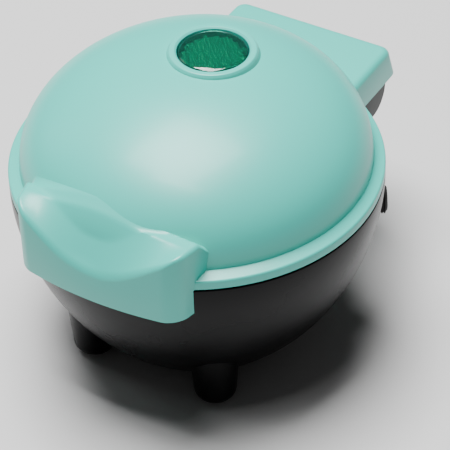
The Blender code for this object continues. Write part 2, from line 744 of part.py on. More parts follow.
def indicator():
    """Lens, its retainer, the lamp holder and the lamp, in the collar's pocket."""
    flange = LENS_SEAT - CLEARANCE
    under = flange - 0.0011
    centre = (0, LENS_BACK)
    shares = (0, 0.25, 0.5, 0.75, 0.92)
    crown = [(LENS_RADIUS * t, COLLAR_TOP - 0.0006 + LENS_CROWN * (1 - t**2)) for t in shares]
    profile = [
        *crown,
        (LENS_RADIUS, COLLAR_TOP - 0.0010),
        (LENS_RADIUS, flange),
        (LENS_RADIUS + LENS_FLANGE, flange),
        (LENS_RADIUS + LENS_FLANGE, under),
        (LENS_RADIUS - 0.0016, under),
        (LENS_RADIUS - 0.0016, COLLAR_TOP - 0.0022),
        (0, COLLAR_TOP - 0.0016),
    ]
    lens = turned("indicator_lens", profile, LID, parts, 32, centre)
    finish(lens, "green_lens", (0.01, 0.32, 0.24), 0.12)
    outer = LENS_RADIUS + LENS_FLANGE
    top = under - CLEARANCE
    profile = [(outer, top), (outer, top - 0.0012), (0.0110, top - 0.0012), (0.0110, top)]
    profile = [profile[3], profile[0], profile[1], profile[2]]
    ring = turned("lens_retainer", profile, LID, parts, 32, centre)
    finish(ring, "spring_steel", STEEL, 0.35, 1.0)
    top -= 0.0012 + CLEARANCE
    depth = 0.0110
    profile = [
        (0.0080, top),
        (outer, top),
        (outer, top - 0.0013),
        (0.0096, top - 0.0013),
        (0.0096, top - depth),
        (LAMP_RADIUS + CLEARANCE, top - depth),
        (LAMP_RADIUS + CLEARANCE, top - depth + 0.0018),
        (0.0080, top - depth + 0.0018),
    ]
    holder = turned("lamp_holder", profile, LID, parts, 32, centre)
    finish(holder, "holder_nylon", WHITE, 0.5)
    tip = top - 0.0006
    low = top - depth - 0.0030
    glass = oval(LAMP_RADIUS, 0.0030, 2.0, count=5)
    profile = [(r, tip - 0.0030 + z) for r, z in reversed(glass)]
    profile += [(LAMP_RADIUS, low), (0, low)]
    lamp = turned("indicator_lamp", profile, LID, parts, 16, centre)
    finish(lamp, "neon_glass", WHITE, 0.1)


LAMP_RADIUS = 0.0031


# ---------------------------------------------------------------- base

def bowl(radius, depth, full_depth, top, band):
    """Outer line of the base: a straight band, then the superellipse, then the flat bottom."""
    share = depth / full_depth
    curve = [(r, -band - z) for r, z in oval(radius, full_depth, BOWL_POWER, share, 9)]
    return [(radius, top), *curve, (0, -band - depth)]


LEGS = [(sx * LEG_SPREAD, sy * LEG_REACH) for sy in (-1, 1) for sx in (-1, 1)]
LEG_TIP_Z = -SEAM_HEIGHT + PAD_PROUD
BOTTOM_Z = -BAND_HEIGHT - BOWL_DEPTH


def base_shell():
    """Bowl, legs and hinge block as one moulding, open at the top and under the cover."""
    outer = bowl(RIM_RADIUS, BOWL_DEPTH, BOWL_FULL_DEPTH, -SEAM_GAP, BAND_HEIGHT)
    shell = turned("base_shell", [(0, -SEAM_GAP), *outer], BASE, parts)
    for i, (x, y) in enumerate(LEGS):
        profile = [(0, LEG_TIP_Z + LEG_ROOT_RISE), (LEG_ROOT_RADIUS, LEG_TIP_Z + LEG_ROOT_RISE)]
        for step in range(6):
            turn = step / 5 * math.pi / 2
            reach = LEG_TIP_RADIUS - LEG_TIP_FILLET * (1 - math.cos(turn))
            profile.append((reach, LEG_TIP_Z + LEG_TIP_FILLET * (1 - math.sin(turn))))
        profile.append((0, LEG_TIP_Z))
        join(shell, turned(f"leg_{i}", profile, BASE, steps=24, centre=(x, y)))
    for sign, side in ((-1, "left"), (1, "right")):
        ends = sorted((sign * (CHEEK_OUTER - CHEEK_WIDTH), sign * CHEEK_OUTER))
        eye = rod(
            f"cheek_{side}",
            (ends[0], HINGE_Y, -HINGE_DROP),
            (ends[1], HINGE_Y, -HINGE_DROP),
            CHEEK_RADIUS,
            BASE,
            steps=40,
        )
        low = -HINGE_DROP - 0.9 * CHEEK_RADIUS
        web = block(f"web_{side}", (ends[0], RIM_RADIUS - 0.012, low), (ends[1], HINGE_Y, -WEB_DROP), BASE)
        ends = sorted((sign * LUG_OUTER, sign * (LUG_OUTER - LUG_WIDTH)))
        stop = block(
            f"stop_{side}",
            (ends[0], RIM_RADIUS - 0.012, -HINGE_DROP - TOE_DEPTH),
            (ends[1], HINGE_Y - STOP_REACH, -HINGE_DROP + 0.0020),
            BASE,
        )
        join(shell, web, eye, stop)
    inner = bowl(
        RIM_RADIUS - WALL, BOWL_DEPTH - FLOOR, BOWL_FULL_DEPTH - WALL, 0.01, BAND_HEIGHT
    )
    cut(shell, turned("bowl_hollow", [(0, 0.01), *inner], BASE))
    boss_top = BASE_FRAME_BOTTOM - CLEARANCE
    for i, (x, y) in enumerate(around(SCREW_CIRCLE, 4)):
        boss = rod(f"base_boss_{i}", (x, y, boss_top - BASE_BOSS), (x, y, boss_top), 0.0034, BASE)
        out = Vector((x, y, 0)).normalized()
        rib = rod(
            f"base_rib_{i}",
            Vector((x, y, boss_top - BASE_BOSS / 2)),
            out * (RIM_RADIUS - WALL / 2) + Vector((0, 0, boss_top - BASE_BOSS / 2)),
            0.0024,
            BASE,
            steps=8,
        )
        join(shell, boss, rib)
        hole = (x, y, boss_top - 0.01), (x, y, 0)
        cut(shell, rod(f"base_boss_hole_{i}", *hole, SCREW_SHANK + CLEARANCE, BASE))
    cover_z = BOTTOM_Z + COVER_THICKNESS + CLEARANCE
    weld(shell)
    recess = (0, 0, BOTTOM_Z - 0.01), (0, 0, cover_z)
    cut(shell, rod("cover_recess", *recess, COVER_RADIUS + CLEARANCE, BASE, steps=32))
    opening = COVER_RADIUS - 2 * COVER_SCREW_INSET
    way = (0, 0, BOTTOM_Z - 0.01), (0, 0, BOTTOM_Z + 0.02)
    cut(shell, rod("cover_opening", *way, opening, BASE, steps=32))
    weld(shell)
    for i, (x, y) in enumerate(around(COVER_RADIUS - COVER_SCREW_INSET, 4)):
        hole = (x, y, BOTTOM_Z - 0.01), (x, y, BOTTOM_Z + 0.02)
        cut(shell, rod(f"cover_thread_{i}", *hole, SCREW_SHANK + CLEARANCE, BASE, steps=12))
    for i, (x, y) in enumerate(LEGS):
        ends = (x, y, -SEAM_HEIGHT - 0.01), (x, y, LEG_TIP_Z + 0.0010)
        cut(shell, rod(f"pad_seat_{i}", *ends, PAD_RADIUS + CLEARANCE, BASE, steps=24))
    for sign, side in ((-1, "left"), (1, "right")):
        ends = [(sign * x, HINGE_Y, -HINGE_DROP) for x in (LUG_OUTER, PIN_END + CLEARANCE)]
        cut(shell, rod(f"pin_seat_{side}", *ends, PIN_RADIUS + CLEARANCE, BASE))
    x = 3 * LEAD_RADIUS
    reach = LEAD_RADIUS + 2 * CLEARANCE
    low = (-x - reach, RIM_RADIUS - 0.006, -HINGE_DROP - reach)
    cut(shell, block("base_channel", low, (-x + reach, RIM_RADIUS + 0.003, -HINGE_DROP + reach), BASE))
    seat = gland_point(-0.008), gland_point(0.004)
    cut(shell, rod("gland_seat", *seat, GLAND_RADIUS + CLEARANCE, BASE, steps=24))
    return finish(shell, "black_gloss_moulding", BLACK, 0.18)


def gland_point(out):
    """A point on the gland's axis, this far outside the base's band."""
    radius = RIM_RADIUS + out
    return (radius * math.cos(GLAND_ANGLE), radius * math.sin(GLAND_ANGLE), -GLAND_DROP)


def cord_gland():
    """The bush that the mains cord would pass through, with its flange outside."""
    bush = rod("cord_gland", gland_point(-0.0055), gland_point(GLAND_PROUD), GLAND_RADIUS, BASE, parts, 24)
    cut(bush, rod("gland_bore", gland_point(-0.02), gland_point(0.02), GLAND_BORE, BASE))
    return finish(bush, "gland_rubber", BLACK, 0.6)


def bottom_cover():
    """The vented disc under the base, with its four screws."""
    low = BOTTOM_Z + 0.0001
    disc = rod("bottom_cover", (0, 0, low), (0, 0, low + COVER_THICKNESS - 0.0001), COVER_RADIUS, BASE, parts, 32)
    for i in range(VENT_COUNT):
        y = (i - (VENT_COUNT - 1) / 2) * VENT_PITCH
        half = math.sqrt((COVER_RADIUS - 2.2 * COVER_SCREW_INSET) ** 2 - y**2)
        corner = (half, y + VENT_WIDTH / 2, low + 0.01)
        cut(disc, block(f"vent_{i}", (-half, y - VENT_WIDTH / 2, low - 0.01), corner, BASE))
    for i, (x, y) in enumerate(around(COVER_RADIUS - COVER_SCREW_INSET, 4)):
        way = SCREW_SHANK + CLEARANCE
        cut(disc, rod(f"cover_way_{i}", (x, y, low - 0.01), (x, y, low + 0.01), way, BASE, steps=12))
        pin_screw(f"cover_screw_{i + 1}", (x, y, low - 0.0015), 1, 0.0060, BASE)
    return finish(disc, "black_cover", BLACK, 0.45)


def foot_pads():
    """Four soft pads, one let into the end of each leg."""
    for i, (x, y) in enumerate(LEGS):
        top = LEG_TIP_Z + 0.0010 - CLEARANCE
        pad = rod(f"foot_pad_{i + 1}", (x, y, -SEAM_HEIGHT), (x, y, top), PAD_RADIUS, BASE, parts, 24)
        finish(pad, "pad_rubber", BLACK, 0.8)


def hinge_pins():
    """Two steel pins, each through one lug into one cheek."""
    for sign, side in ((-1, "left"), (1, "right")):
        ends = [(sign * x, HINGE_Y, -HINGE_DROP) for x in (PIN_START, PIN_END)]
        pin = rod(f"hinge_pin_{side}", *ends, PIN_RADIUS, BASE, parts)
        finish(pin, "pin_steel", STEEL, 0.3, 1.0)


def beside_wall(x, z):
    """How far back a lead at this x and z lies when it follows the inside of the bowl."""
    share = (-BAND_HEIGHT - z) / (BOWL_FULL_DEPTH - WALL)
    inside = (RIM_RADIUS - WALL) * (1 - share**BOWL_POWER) ** (1 / BOWL_POWER)
    return math.sqrt(inside**2 - x**2) - 1.5 * LEAD_RADIUS - 3 * CLEARANCE


def wiring():
    """Terminal block and the lead, which crosses the hinge along its axis."""
    floor_z = BOTTOM_Z + FLOOR + CLEARANCE
    y = COVER_RADIUS - COVER_SCREW_INSET
    low, high = (-0.011, y - 0.006, floor_z), (0.011, y + 0.005, floor_z + 0.007)
    terminals = block("terminal_block", low, high, BASE, parts)
    for i in range(3):
        x = (i - 1) * 0.007
        way = (x, y, floor_z + 0.002), (x, y, floor_z + 0.02)
        cut(terminals, rod(f"terminal_way_{i}", *way, 0.0018, BASE, steps=12))
    finish(terminals, "terminal_ceramic", WHITE, 0.5)
    x = 3 * LEAD_RADIUS
    bend = x - 3 * CLEARANCE
    start = y + 0.006
    climb = [floor_z + 0.0085, floor_z + 0.0180, floor_z + 0.0290, -0.0225]
    knee = (start + beside_wall(x, climb[0])) / 2
    route = [
        (-x, start, floor_z + 0.0035),
        (-x, knee, floor_z + 0.0048),
        *((-x, beside_wall(x, z), z) for z in climb),
        (-x, RIM_RADIUS - 0.0065, -HINGE_DROP - 0.0012),
        (-x, RIM_RADIUS + 0.0020, -HINGE_DROP),
        (-x, HINGE_Y - bend, -HINGE_DROP),
        (-x + 0.293 * bend, HINGE_Y - 0.293 * bend, -HINGE_DROP),
        (-x + bend, HINGE_Y, -HINGE_DROP),
    ]
    finish(wire("base_lead", smooth_route(route, 3), LEAD_RADIUS, BASE), "lead_sleeve", WHITE, 0.6)
    inner = FRAME_INNER - FRAME_LIP
    route = [
        (1.5 * CLEARANCE, HINGE_Y, -HINGE_DROP),
        (0.5 * x, HINGE_Y, -HINGE_DROP),
        (0.9 * x, HINGE_Y - 0.0015, -0.6 * HINGE_DROP),
        (x, HINGE_Y - 0.0045, 0.0),
        (x, RIM_RADIUS + 0.0030, CHANNEL_Z - 0.0003),
        (x, RIM_RADIUS - 0.0060, CHANNEL_Z),
        (x, inner + 0.0050, CHANNEL_Z + 0.0006),
        (x, inner - 0.0010, FRAME_TOP + 0.0048),
        (x, inner - 0.0120, FRAME_TOP + 0.0080),
        (0.5 * x, 0.0300, FRAME_TOP + 0.0085),
    ]
    finish(wire("lid_lead", smooth_route(route, 3), LEAD_RADIUS, LID), "lead_sleeve_lid", WHITE, 0.6)


lid_shell()
indicator()
upper_frame()
upper_plate()
heating("upper", UPPER_FLOOR + PLATE, 1, LID)
upper_shield()
base_shell()
lower_frame()
lower_plate()
heating("lower", LOWER_FLOOR - PLATE, -1, BASE)
lower_shield()
bottom_cover()
foot_pads()
hinge_pins()
cord_gland()
wiring()
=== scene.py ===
"""Looks of the mini waffle bowl maker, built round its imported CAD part.

Metres, +Z up, the front is -Y. Each sub-assembly is drawn in the body's own frame, with Z = 0 at the
seam between lid and base and X = Y = 0 on the bowl's axis, and is then moved to where the CAD part is.
"""

import logging
import math
from collections.abc import Iterable, Sequence
from dataclasses import dataclass, field
from enum import Enum

import bmesh
import bpy
from mathutils import Matrix, Vector


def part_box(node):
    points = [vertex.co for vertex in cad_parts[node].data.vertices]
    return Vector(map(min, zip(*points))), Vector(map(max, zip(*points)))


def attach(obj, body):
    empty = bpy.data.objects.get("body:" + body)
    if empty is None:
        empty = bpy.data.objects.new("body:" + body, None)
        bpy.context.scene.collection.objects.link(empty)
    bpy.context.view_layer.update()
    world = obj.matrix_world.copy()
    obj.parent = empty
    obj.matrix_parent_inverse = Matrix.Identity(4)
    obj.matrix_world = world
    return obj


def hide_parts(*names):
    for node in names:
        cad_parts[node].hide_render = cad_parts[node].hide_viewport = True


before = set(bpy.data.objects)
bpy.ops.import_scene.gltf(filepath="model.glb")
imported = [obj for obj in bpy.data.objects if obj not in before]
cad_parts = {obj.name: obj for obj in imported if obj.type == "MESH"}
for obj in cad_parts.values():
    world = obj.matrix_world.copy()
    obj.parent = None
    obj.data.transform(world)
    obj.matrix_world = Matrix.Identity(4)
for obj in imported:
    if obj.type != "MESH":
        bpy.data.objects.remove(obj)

LOG = logging.getLogger("waffle_bowl_maker")
Point = tuple[float, float]
WELD = 1e-6


# ---------------------------------------------------------------- shared values

class Body(Enum):
    """The two CAD bodies that pieces ride on."""

    LID = "lid"
    BASE = "base"


class Slot(Enum):
    """Names of the material slots."""

    MINT = "mint_plastic"
    BLACK = "black_plastic"
    PHENOLIC = "black_phenolic"
    LENS = "green_lens"
    NONSTICK = "nonstick_aluminium"
    STEEL = "steel"
    SHIELD = "shield_aluminium"
    WHITE = "white_insulation"
    RUBBER = "black_rubber"
    GLASS = "clear_glass"


@dataclass(frozen=True)
class Datum:
    """Where the body's own frame lies in the CAD part's frame."""

    plate_to_seam: float = 0.0009

    def origin(self) -> Vector:
        """The point where the bowl's axis meets the seam."""
        low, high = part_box("lower_plate")
        return Vector(((low.x + high.x) / 2, (low.y + high.y) / 2, high.z + self.plate_to_seam))

    def hinge(self) -> Vector:
        """The middle of the hinge axis, in the body's own frame."""
        low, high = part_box("hinge_pin_left")
        centre = (low + high) / 2 - self.origin()
        return Vector((0, centre.y, centre.z))


ORIGIN = Datum().origin()
HINGE = Datum().hinge()


@dataclass(frozen=True)
class Envelope:
    """Sizes that lid and base share."""

    rim_radius: float = 0.0675
    wall: float = 0.0026
    clearance: float = 0.0003
    rim_height: float = 0.00373
    dome_foot: float = 0.00506
    dome_radius: float = 0.06322
    dome_height: float = 0.03602
    dome_power: float = 2.18
    lean: float = 0.00616
    bowl_start: float = 0.0030
    bowl_depth: float = 0.0660
    bowl_full_depth: float = 0.0808
    bowl_power: float = 1.8
    seam_gap: float = 0.0004


ENVELOPE = Envelope()


# ---------------------------------------------------------------- mesh tools

def superellipse(
    radius: float, height: float, power: float, share: float = 1.0, count: int = 40
) -> list[Point]:
    """Quarter of a superellipse from its wide end up to a share of its height.

    Args:
        radius: Radius at the wide end.
        height: Full height of the quarter.
        power: The superellipse's power.
        share: Share of the height that is drawn.
        count: Number of steps.

    Returns:
        (radius, height) points.
    """
    made = []
    for i in range(count + 1):
        rise = math.sin(i / count * math.asin(share))
        made.append((radius * max(0.0, 1 - rise**power) ** (1 / power), height * rise))
    return made


def rounded(outline: Sequence[Point], radii: Sequence[float], steps: int = 5) -> list[Point]:
    """Puts an arc at each corner of a closed outline.

    Args:
        outline: Corners in order.
        radii: One radius for each corner, 0 for a sharp one.
        steps: Steps of each arc.

    Returns:
        The rounded outline.
    """
    made: list[Point] = []
    for i, radius in enumerate(radii):
        corner = Vector(outline[i])
        before = (Vector(outline[i - 1]) - corner).normalized()
        after = (Vector(outline[(i + 1) % len(outline)]) - corner).normalized()
        half = before.angle(after) / 2
        if radius == 0 or half > 1.55:
            made.append((corner.x, corner.y))
            continue
        centre = corner + (before + after).normalized() * radius / math.sin(half)
        spoke = corner + before * radius / math.tan(half) - centre
        turn = math.pi - 2 * half
        if before.cross(after) > 0:
            turn = -turn
        for step in range(steps + 1):
            arm = spoke.copy()
            arm.rotate(Matrix.Rotation(turn * step / steps, 2))
            made.append((centre.x + arm.x, centre.y + arm.y))
    return made


def revolve(profile: Sequence[Point], steps: int = 128, closed: bool = True) -> bmesh.types.BMesh:
    """Spins a profile once round the Z axis.

    Args:
        profile: (radius, height) points.
        steps: Number of steps round the circle.
        closed: Whether the profile's last point joins its first.

    Returns:
        A closed mesh whose faces point outwards.
    """
    shape = bmesh.new()
    points = [shape.verts.new((r, 0, z)) for r, z in profile]
    edges = [shape.edges.new(pair) for pair in zip(points, points[1:])]
    if closed:
        edges.append(shape.edges.new((points[-1], points[0])))
    bmesh.ops.spin(
        shape,
        geom=[*points, *edges],
        cent=(0, 0, 0),
        axis=(0, 0, 1),
        dvec=(0, 0, 0),
        angle=math.tau,
        steps=steps,
        use_merge=True,
        use_normal_flip=False,
        use_duplicate=False,
    )
    bmesh.ops.remove_doubles(shape, verts=shape.verts, dist=WELD)
    bmesh.ops.recalc_face_normals(shape, faces=shape.faces)
    return shape


def box_mesh(low: Sequence[float], high: Sequence[float]) -> bmesh.types.BMesh:
    """A box between two corners."""
    shape = bmesh.new()
    bmesh.ops.create_cube(shape, size=1)
    size = Vector(high) - Vector(low)
    bmesh.ops.scale(shape, verts=shape.verts, vec=size)
    bmesh.ops.translate(shape, verts=shape.verts, vec=Vector(low) + size / 2)
    return shape


def rod_mesh(
    start: Sequence[float], end: Sequence[float], radius: float, steps: int = 48
) -> bmesh.types.BMesh:
    """A cylinder between two points."""
    shape = bmesh.new()
    first, last = Vector(start), Vector(end)
    bmesh.ops.create_cone(
        shape,
        cap_ends=True,
        segments=steps,
        radius1=radius,
        radius2=radius,
        depth=(last - first).length,
    )
    turn = Vector((0, 0, 1)).rotation_difference(last - first).to_matrix().to_4x4()
    matrix = Matrix.Translation((first + last) / 2) @ turn
    bmesh.ops.transform(shape, verts=shape.verts, matrix=matrix)
    return shape


def soften(
    shape: bmesh.types.BMesh, edges: Iterable[bmesh.types.BMEdge], width: float, segments: int = 4
) -> None:
    """Rounds the given edges."""
    bmesh.ops.bevel(
        shape,
        geom=list(edges),
        offset=width,
        offset_type="OFFSET",
        affect="EDGES",
        segments=segments,
        profile=0.5,
        clamp_overlap=True,
        material=-1,
    )


def sharp_edges(shape: bmesh.types.BMesh, degrees: float = 35) -> list[bmesh.types.BMEdge]:
    """Edges whose two faces meet at more than the given angle."""
    return [
        e for e in shape.edges if len(e.link_faces) == 2 and e.calc_face_angle(0) > math.radians(degrees)
    ]


def hull_of(*shapes: bmesh.types.BMesh) -> bmesh.types.BMesh:
    """The convex hull round several shapes, with its flat sides made single faces."""
    hull = bmesh.new()
    for shape in shapes:
        for vertex in shape.verts:
            hull.verts.new(vertex.co)
        shape.free()
    bmesh.ops.convex_hull(hull, input=hull.verts)
    loose = [v for v in hull.verts if not v.link_faces]
    bmesh.ops.delete(hull, geom=loose, context="VERTS")
    bmesh.ops.dissolve_limit(hull, angle_limit=math.radians(1), verts=hull.verts, edges=hull.edges)
    bmesh.ops.recalc_face_normals(hull, faces=hull.faces)
    return hull


def add_to(shape: bmesh.types.BMesh, other: bmesh.types.BMesh) -> None:
    """Copies another mesh into this one and frees it."""
    mesh = bpy.data.meshes.new("part")
    other.to_mesh(mesh)
    other.free()
    shape.from_mesh(mesh)
    bpy.data.meshes.remove(mesh)


def loose_object(shape: bmesh.types.BMesh, name: str) -> bpy.types.Object:
    """Makes an object from a mesh in the body's own frame and frees the mesh."""
    mesh = bpy.data.meshes.new(name)
    shape.to_mesh(mesh)
    shape.free()
    made = bpy.data.objects.new(name, mesh)
    bpy.context.scene.collection.objects.link(made)
    return made


def combined(
    target: bpy.types.Object, operation: str, others: Iterable[bmesh.types.BMesh]
) -> bpy.types.Object:
    """Applies one Boolean for each other mesh.

    Args:
        target: Object to change.
        operation: UNION or DIFFERENCE.
        others: Meshes in the body's own frame. They are freed.

    Returns:
        The same object with its mesh replaced.
    """
    tools = [loose_object(other, "tool") for other in others]
    for tool in tools:
        step = target.modifiers.new("join", "BOOLEAN")
        step.operation = operation
        step.object = tool
        step.solver = "EXACT"
    graph = bpy.context.evaluated_depsgraph_get()
    mesh = bpy.data.meshes.new_from_object(target.evaluated_get(graph))
    target.modifiers.clear()
    old = target.data
    target.data = mesh
    bpy.data.meshes.remove(old)
    for tool in tools:
        bpy.data.objects.remove(tool, do_unlink=True)
    return target


def present(
    piece: bpy.types.Object | bmesh.types.BMesh,
    name: str,
    body: Body,
    surface: bpy.types.Material,
    replaces: Sequence[str] = (),
    crease: float = 40,
) -> bpy.types.Object:
    """Puts a finished piece in the CAD part's frame, dresses it and lets it ride.

    Args:
        piece: Object or mesh in the body's own frame.
        name: Name of the piece.
        body: Body that it rides on.
        surface: Its material.
        replaces: CAD nodes that it stands for.
        crease: Angle in degrees above which an edge is drawn sharp.

    Returns:
        The piece.
    """
    made = piece if isinstance(piece, bpy.types.Object) else loose_object(piece, name)
    made.name = made.data.name = name
    made.data.transform(Matrix.Translation(ORIGIN))
    made.data.materials.clear()
    made.data.materials.append(surface)
    made.data.shade_smooth()
    made.data.set_sharp_from_angle(angle=math.radians(crease))
    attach(made, body.value)
    if replaces:
        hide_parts(*replaces)
    LOG.info("%s: %d faces", name, len(made.data.polygons))
    return made


# ---------------------------------------------------------------- finishes

def linear(code: str) -> tuple[float, float, float, float]:
    """Turns an sRGB hex colour into linear RGBA."""
    values = [int(code[i : i + 2], 16) / 255 for i in (1, 3, 5)]
    made = [v / 12.92 if v <= 0.04045 else ((v + 0.055) / 1.055) ** 2.4 for v in values]
    return made[0], made[1], made[2], 1.0


def node(
    tree: bpy.types.NodeTree, kind: str, inputs: dict | None = None, **settings: object
) -> bpy.types.Node:
    """Adds a node.

    Args:
        tree: Tree that it goes into.
        kind: Blender's name for the node.
        inputs: Value or output socket for each input, by name or number.
        settings: The node's own settings.

    Returns:
        The node.
    """
    made = tree.nodes.new(kind)
    for key, value in settings.items():
        setattr(made, key, value)
    for key, value in (inputs or {}).items():
        if isinstance(value, bpy.types.NodeSocket):
            tree.links.new(value, made.inputs[key])
        else:
            made.inputs[key].default_value = value
    return made


def per_metre(size_mm: float) -> float:
    """Noise scale that gives features of this size."""
    return 1000 / size_mm


@dataclass(frozen=True)
class Finish:
    """A surface with a slight drift of colour, a drift of gloss and a fine relief."""

    name: str
    colour: str
    drift_colour: str
    roughness: tuple[float, float]
    drift_mm: float = 30.0
    grain_mm: float = 0.5
    grain_height_mm: float = 0.004
    metallic: float = 0.0
    coat: float = 0.0
    coat_roughness: float = 0.1
    ior: float | None = None
    stretch: tuple[float, float, float] = (1.0, 1.0, 1.0)
    sockets: dict[str, float] = field(default_factory=dict)

    def material(self) -> bpy.types.Material:
        """Builds the node material."""
        made = bpy.data.materials.new(self.name)
        made.use_nodes = True
        tree = made.node_tree
        shader = tree.nodes["Principled BSDF"]
        place = node(tree, "ShaderNodeTexCoord").outputs["Object"]
        grain_place = node(tree, "ShaderNodeMapping", {"Vector": place, "Scale": self.stretch}).outputs[0]
        drift = node(
            tree, "ShaderNodeTexNoise", {"Vector": place, "Scale": per_metre(self.drift_mm), "Detail": 3.0}
        ).outputs["Fac"]
        grain = node(
            tree, "ShaderNodeTexNoise",
            {"Vector": grain_place, "Scale": per_metre(self.grain_mm), "Detail": 4.0}
        ).outputs["Fac"]
        tint = node(
            tree,
            "ShaderNodeMix",
            {0: drift, 6: linear(self.colour), 7: linear(self.drift_colour)},
            data_type="RGBA",
        ).outputs[2]
        low, high = self.roughness
        gloss = node(tree, "ShaderNodeMapRange", {0: drift, 1: 0.3, 2: 0.7, 3: low, 4: high}).outputs[0]
        relief = node(
            tree, "ShaderNodeBump",
            {"Height": grain, "Distance": self.grain_height_mm / 1000, "Strength": 1.0}
        ).outputs[0]
        for socket, source in (("Base Color", tint), ("Roughness", gloss), ("Normal", relief)):
            tree.links.new(source, shader.inputs[socket])
        shader.inputs["Metallic"].default_value = self.metallic
        shader.inputs["Coat Weight"].default_value = self.coat
        shader.inputs["Coat Roughness"].default_value = self.coat_roughness
        if self.ior is not None:
            shader.inputs["IOR"].default_value = self.ior
        for socket, value in self.sockets.items():
            shader.inputs[socket].default_value = value
        return made


@dataclass(frozen=True)
class Finishes:
    """Every finish of the object."""

    # Injection-moulded ABS in pale mint. It shows a soft sheen with broad, blurred highlights.
    mint: Finish = Finish(
        "mint_abs_moulded", "#3FC4B5", "#3BBFB0", (0.36, 0.40), 45, 1.2, 0.0016, coat=0.12,
        coat_roughness=0.16, ior=1.5
    )
    # Injection-moulded polypropylene in black, polished in the tool. It shows a deep gloss.
    black: Finish = Finish(
        "black_polypropylene_polished", "#050506", "#070708", (0.24, 0.32), 40, 1.5, 0.0015,
        sockets={"Specular IOR Level": 0.12}
    )
    # The same plastic from a spark-eroded tool face. It shows as an even dark grey with no gloss.
    cheek: Finish = Finish(
        "grey_polypropylene_spark_texture", "#191B1B", "#1E2120", (0.55, 0.65), 20, 0.35, 0.02
    )
    # Compression-moulded phenolic. It is black and dull, with a fine sandy grain.
    phenolic: Finish = Finish(
        "phenolic_compression_moulded", "#17171A", "#1D1D20", (0.42, 0.55), 15, 0.4, 0.015
    )
    # Cast aluminium with a sprayed non-stick coat. It is near black with a low sheen and fine speckle.
    nonstick: Finish = Finish(
        "nonstick_coat_on_cast_aluminium", "#232325", "#2E2E31", (0.30, 0.42), 6, 0.35, 0.012, metallic=0.25
    )
    # Zinc-plated steel. It is bright, with a light grey cast.
    zinc: Finish = Finish(
        "zinc_plated_steel", "#C9CBCF", "#B6B9BF", (0.22, 0.36), 3, 0.2, 0.002, metallic=1.0
    )
    # Incoloy sheath, annealed. It is a warm grey metal, duller than plate.
    sheath: Finish = Finish(
        "annealed_incoloy_sheath", "#8E8A84", "#77736C", (0.35, 0.5), 5, 0.2, 0.003, metallic=1.0
    )
    # Rolled aluminium sheet. Its faint lines run one way.
    sheet: Finish = Finish(
        "rolled_aluminium_sheet", "#D5D6D9", "#C6C8CC", (0.22, 0.32), 12, 0.6, 0.003, metallic=1.0,
        stretch=(0.08, 1.0, 1.0)
    )
    # Steatite ceramic and glass sleeve. They are off-white and matt.
    steatite: Finish = Finish("steatite_ceramic", "#DAD6CB", "#CFCABD", (0.5, 0.62), 8, 0.3, 0.008)
    sleeve: Finish = Finish("woven_glass_sleeve", "#DDD8C8", "#C2BCA9", (0.6, 0.75), 2, 0.8, 0.05)
    # Moulded silicone rubber. It is black and has no gloss.
    rubber: Finish = Finish("silicone_rubber_moulded", "#161616", "#1C1C1C", (0.72, 0.82), 8, 0.4, 0.01)
    # Moulded polycarbonate, tinted green. Light passes through it and its gloss is high.
    crown: Finish = Finish(
        "green_polycarbonate_polished", "#3CC4AC", "#36BCA4", (0.05, 0.08), 20, 4.0, 0.001, ior=1.585,
        sockets={"Transmission Weight": 0.95},
    )
    # The same polycarbonate where its underside is cut into prisms, which sparkle in darker green.
    prisms: Finish = Finish(
        "green_polycarbonate_prisms", "#14B096", "#24C4A8", (0.10, 0.18), 4, 1.0, 0.004, coat=0.4, ior=1.585
    )
    # Soda glass of the neon lamp.
    envelope: Finish = Finish(
        "soda_glass_drawn", "#E8D9CF", "#E6D3C6", (0.03, 0.05), 5, 2.0, 0.0005, ior=1.52,
        sockets={"Transmission Weight": 0.9}
    )


# ---------------------------------------------------------------- lid

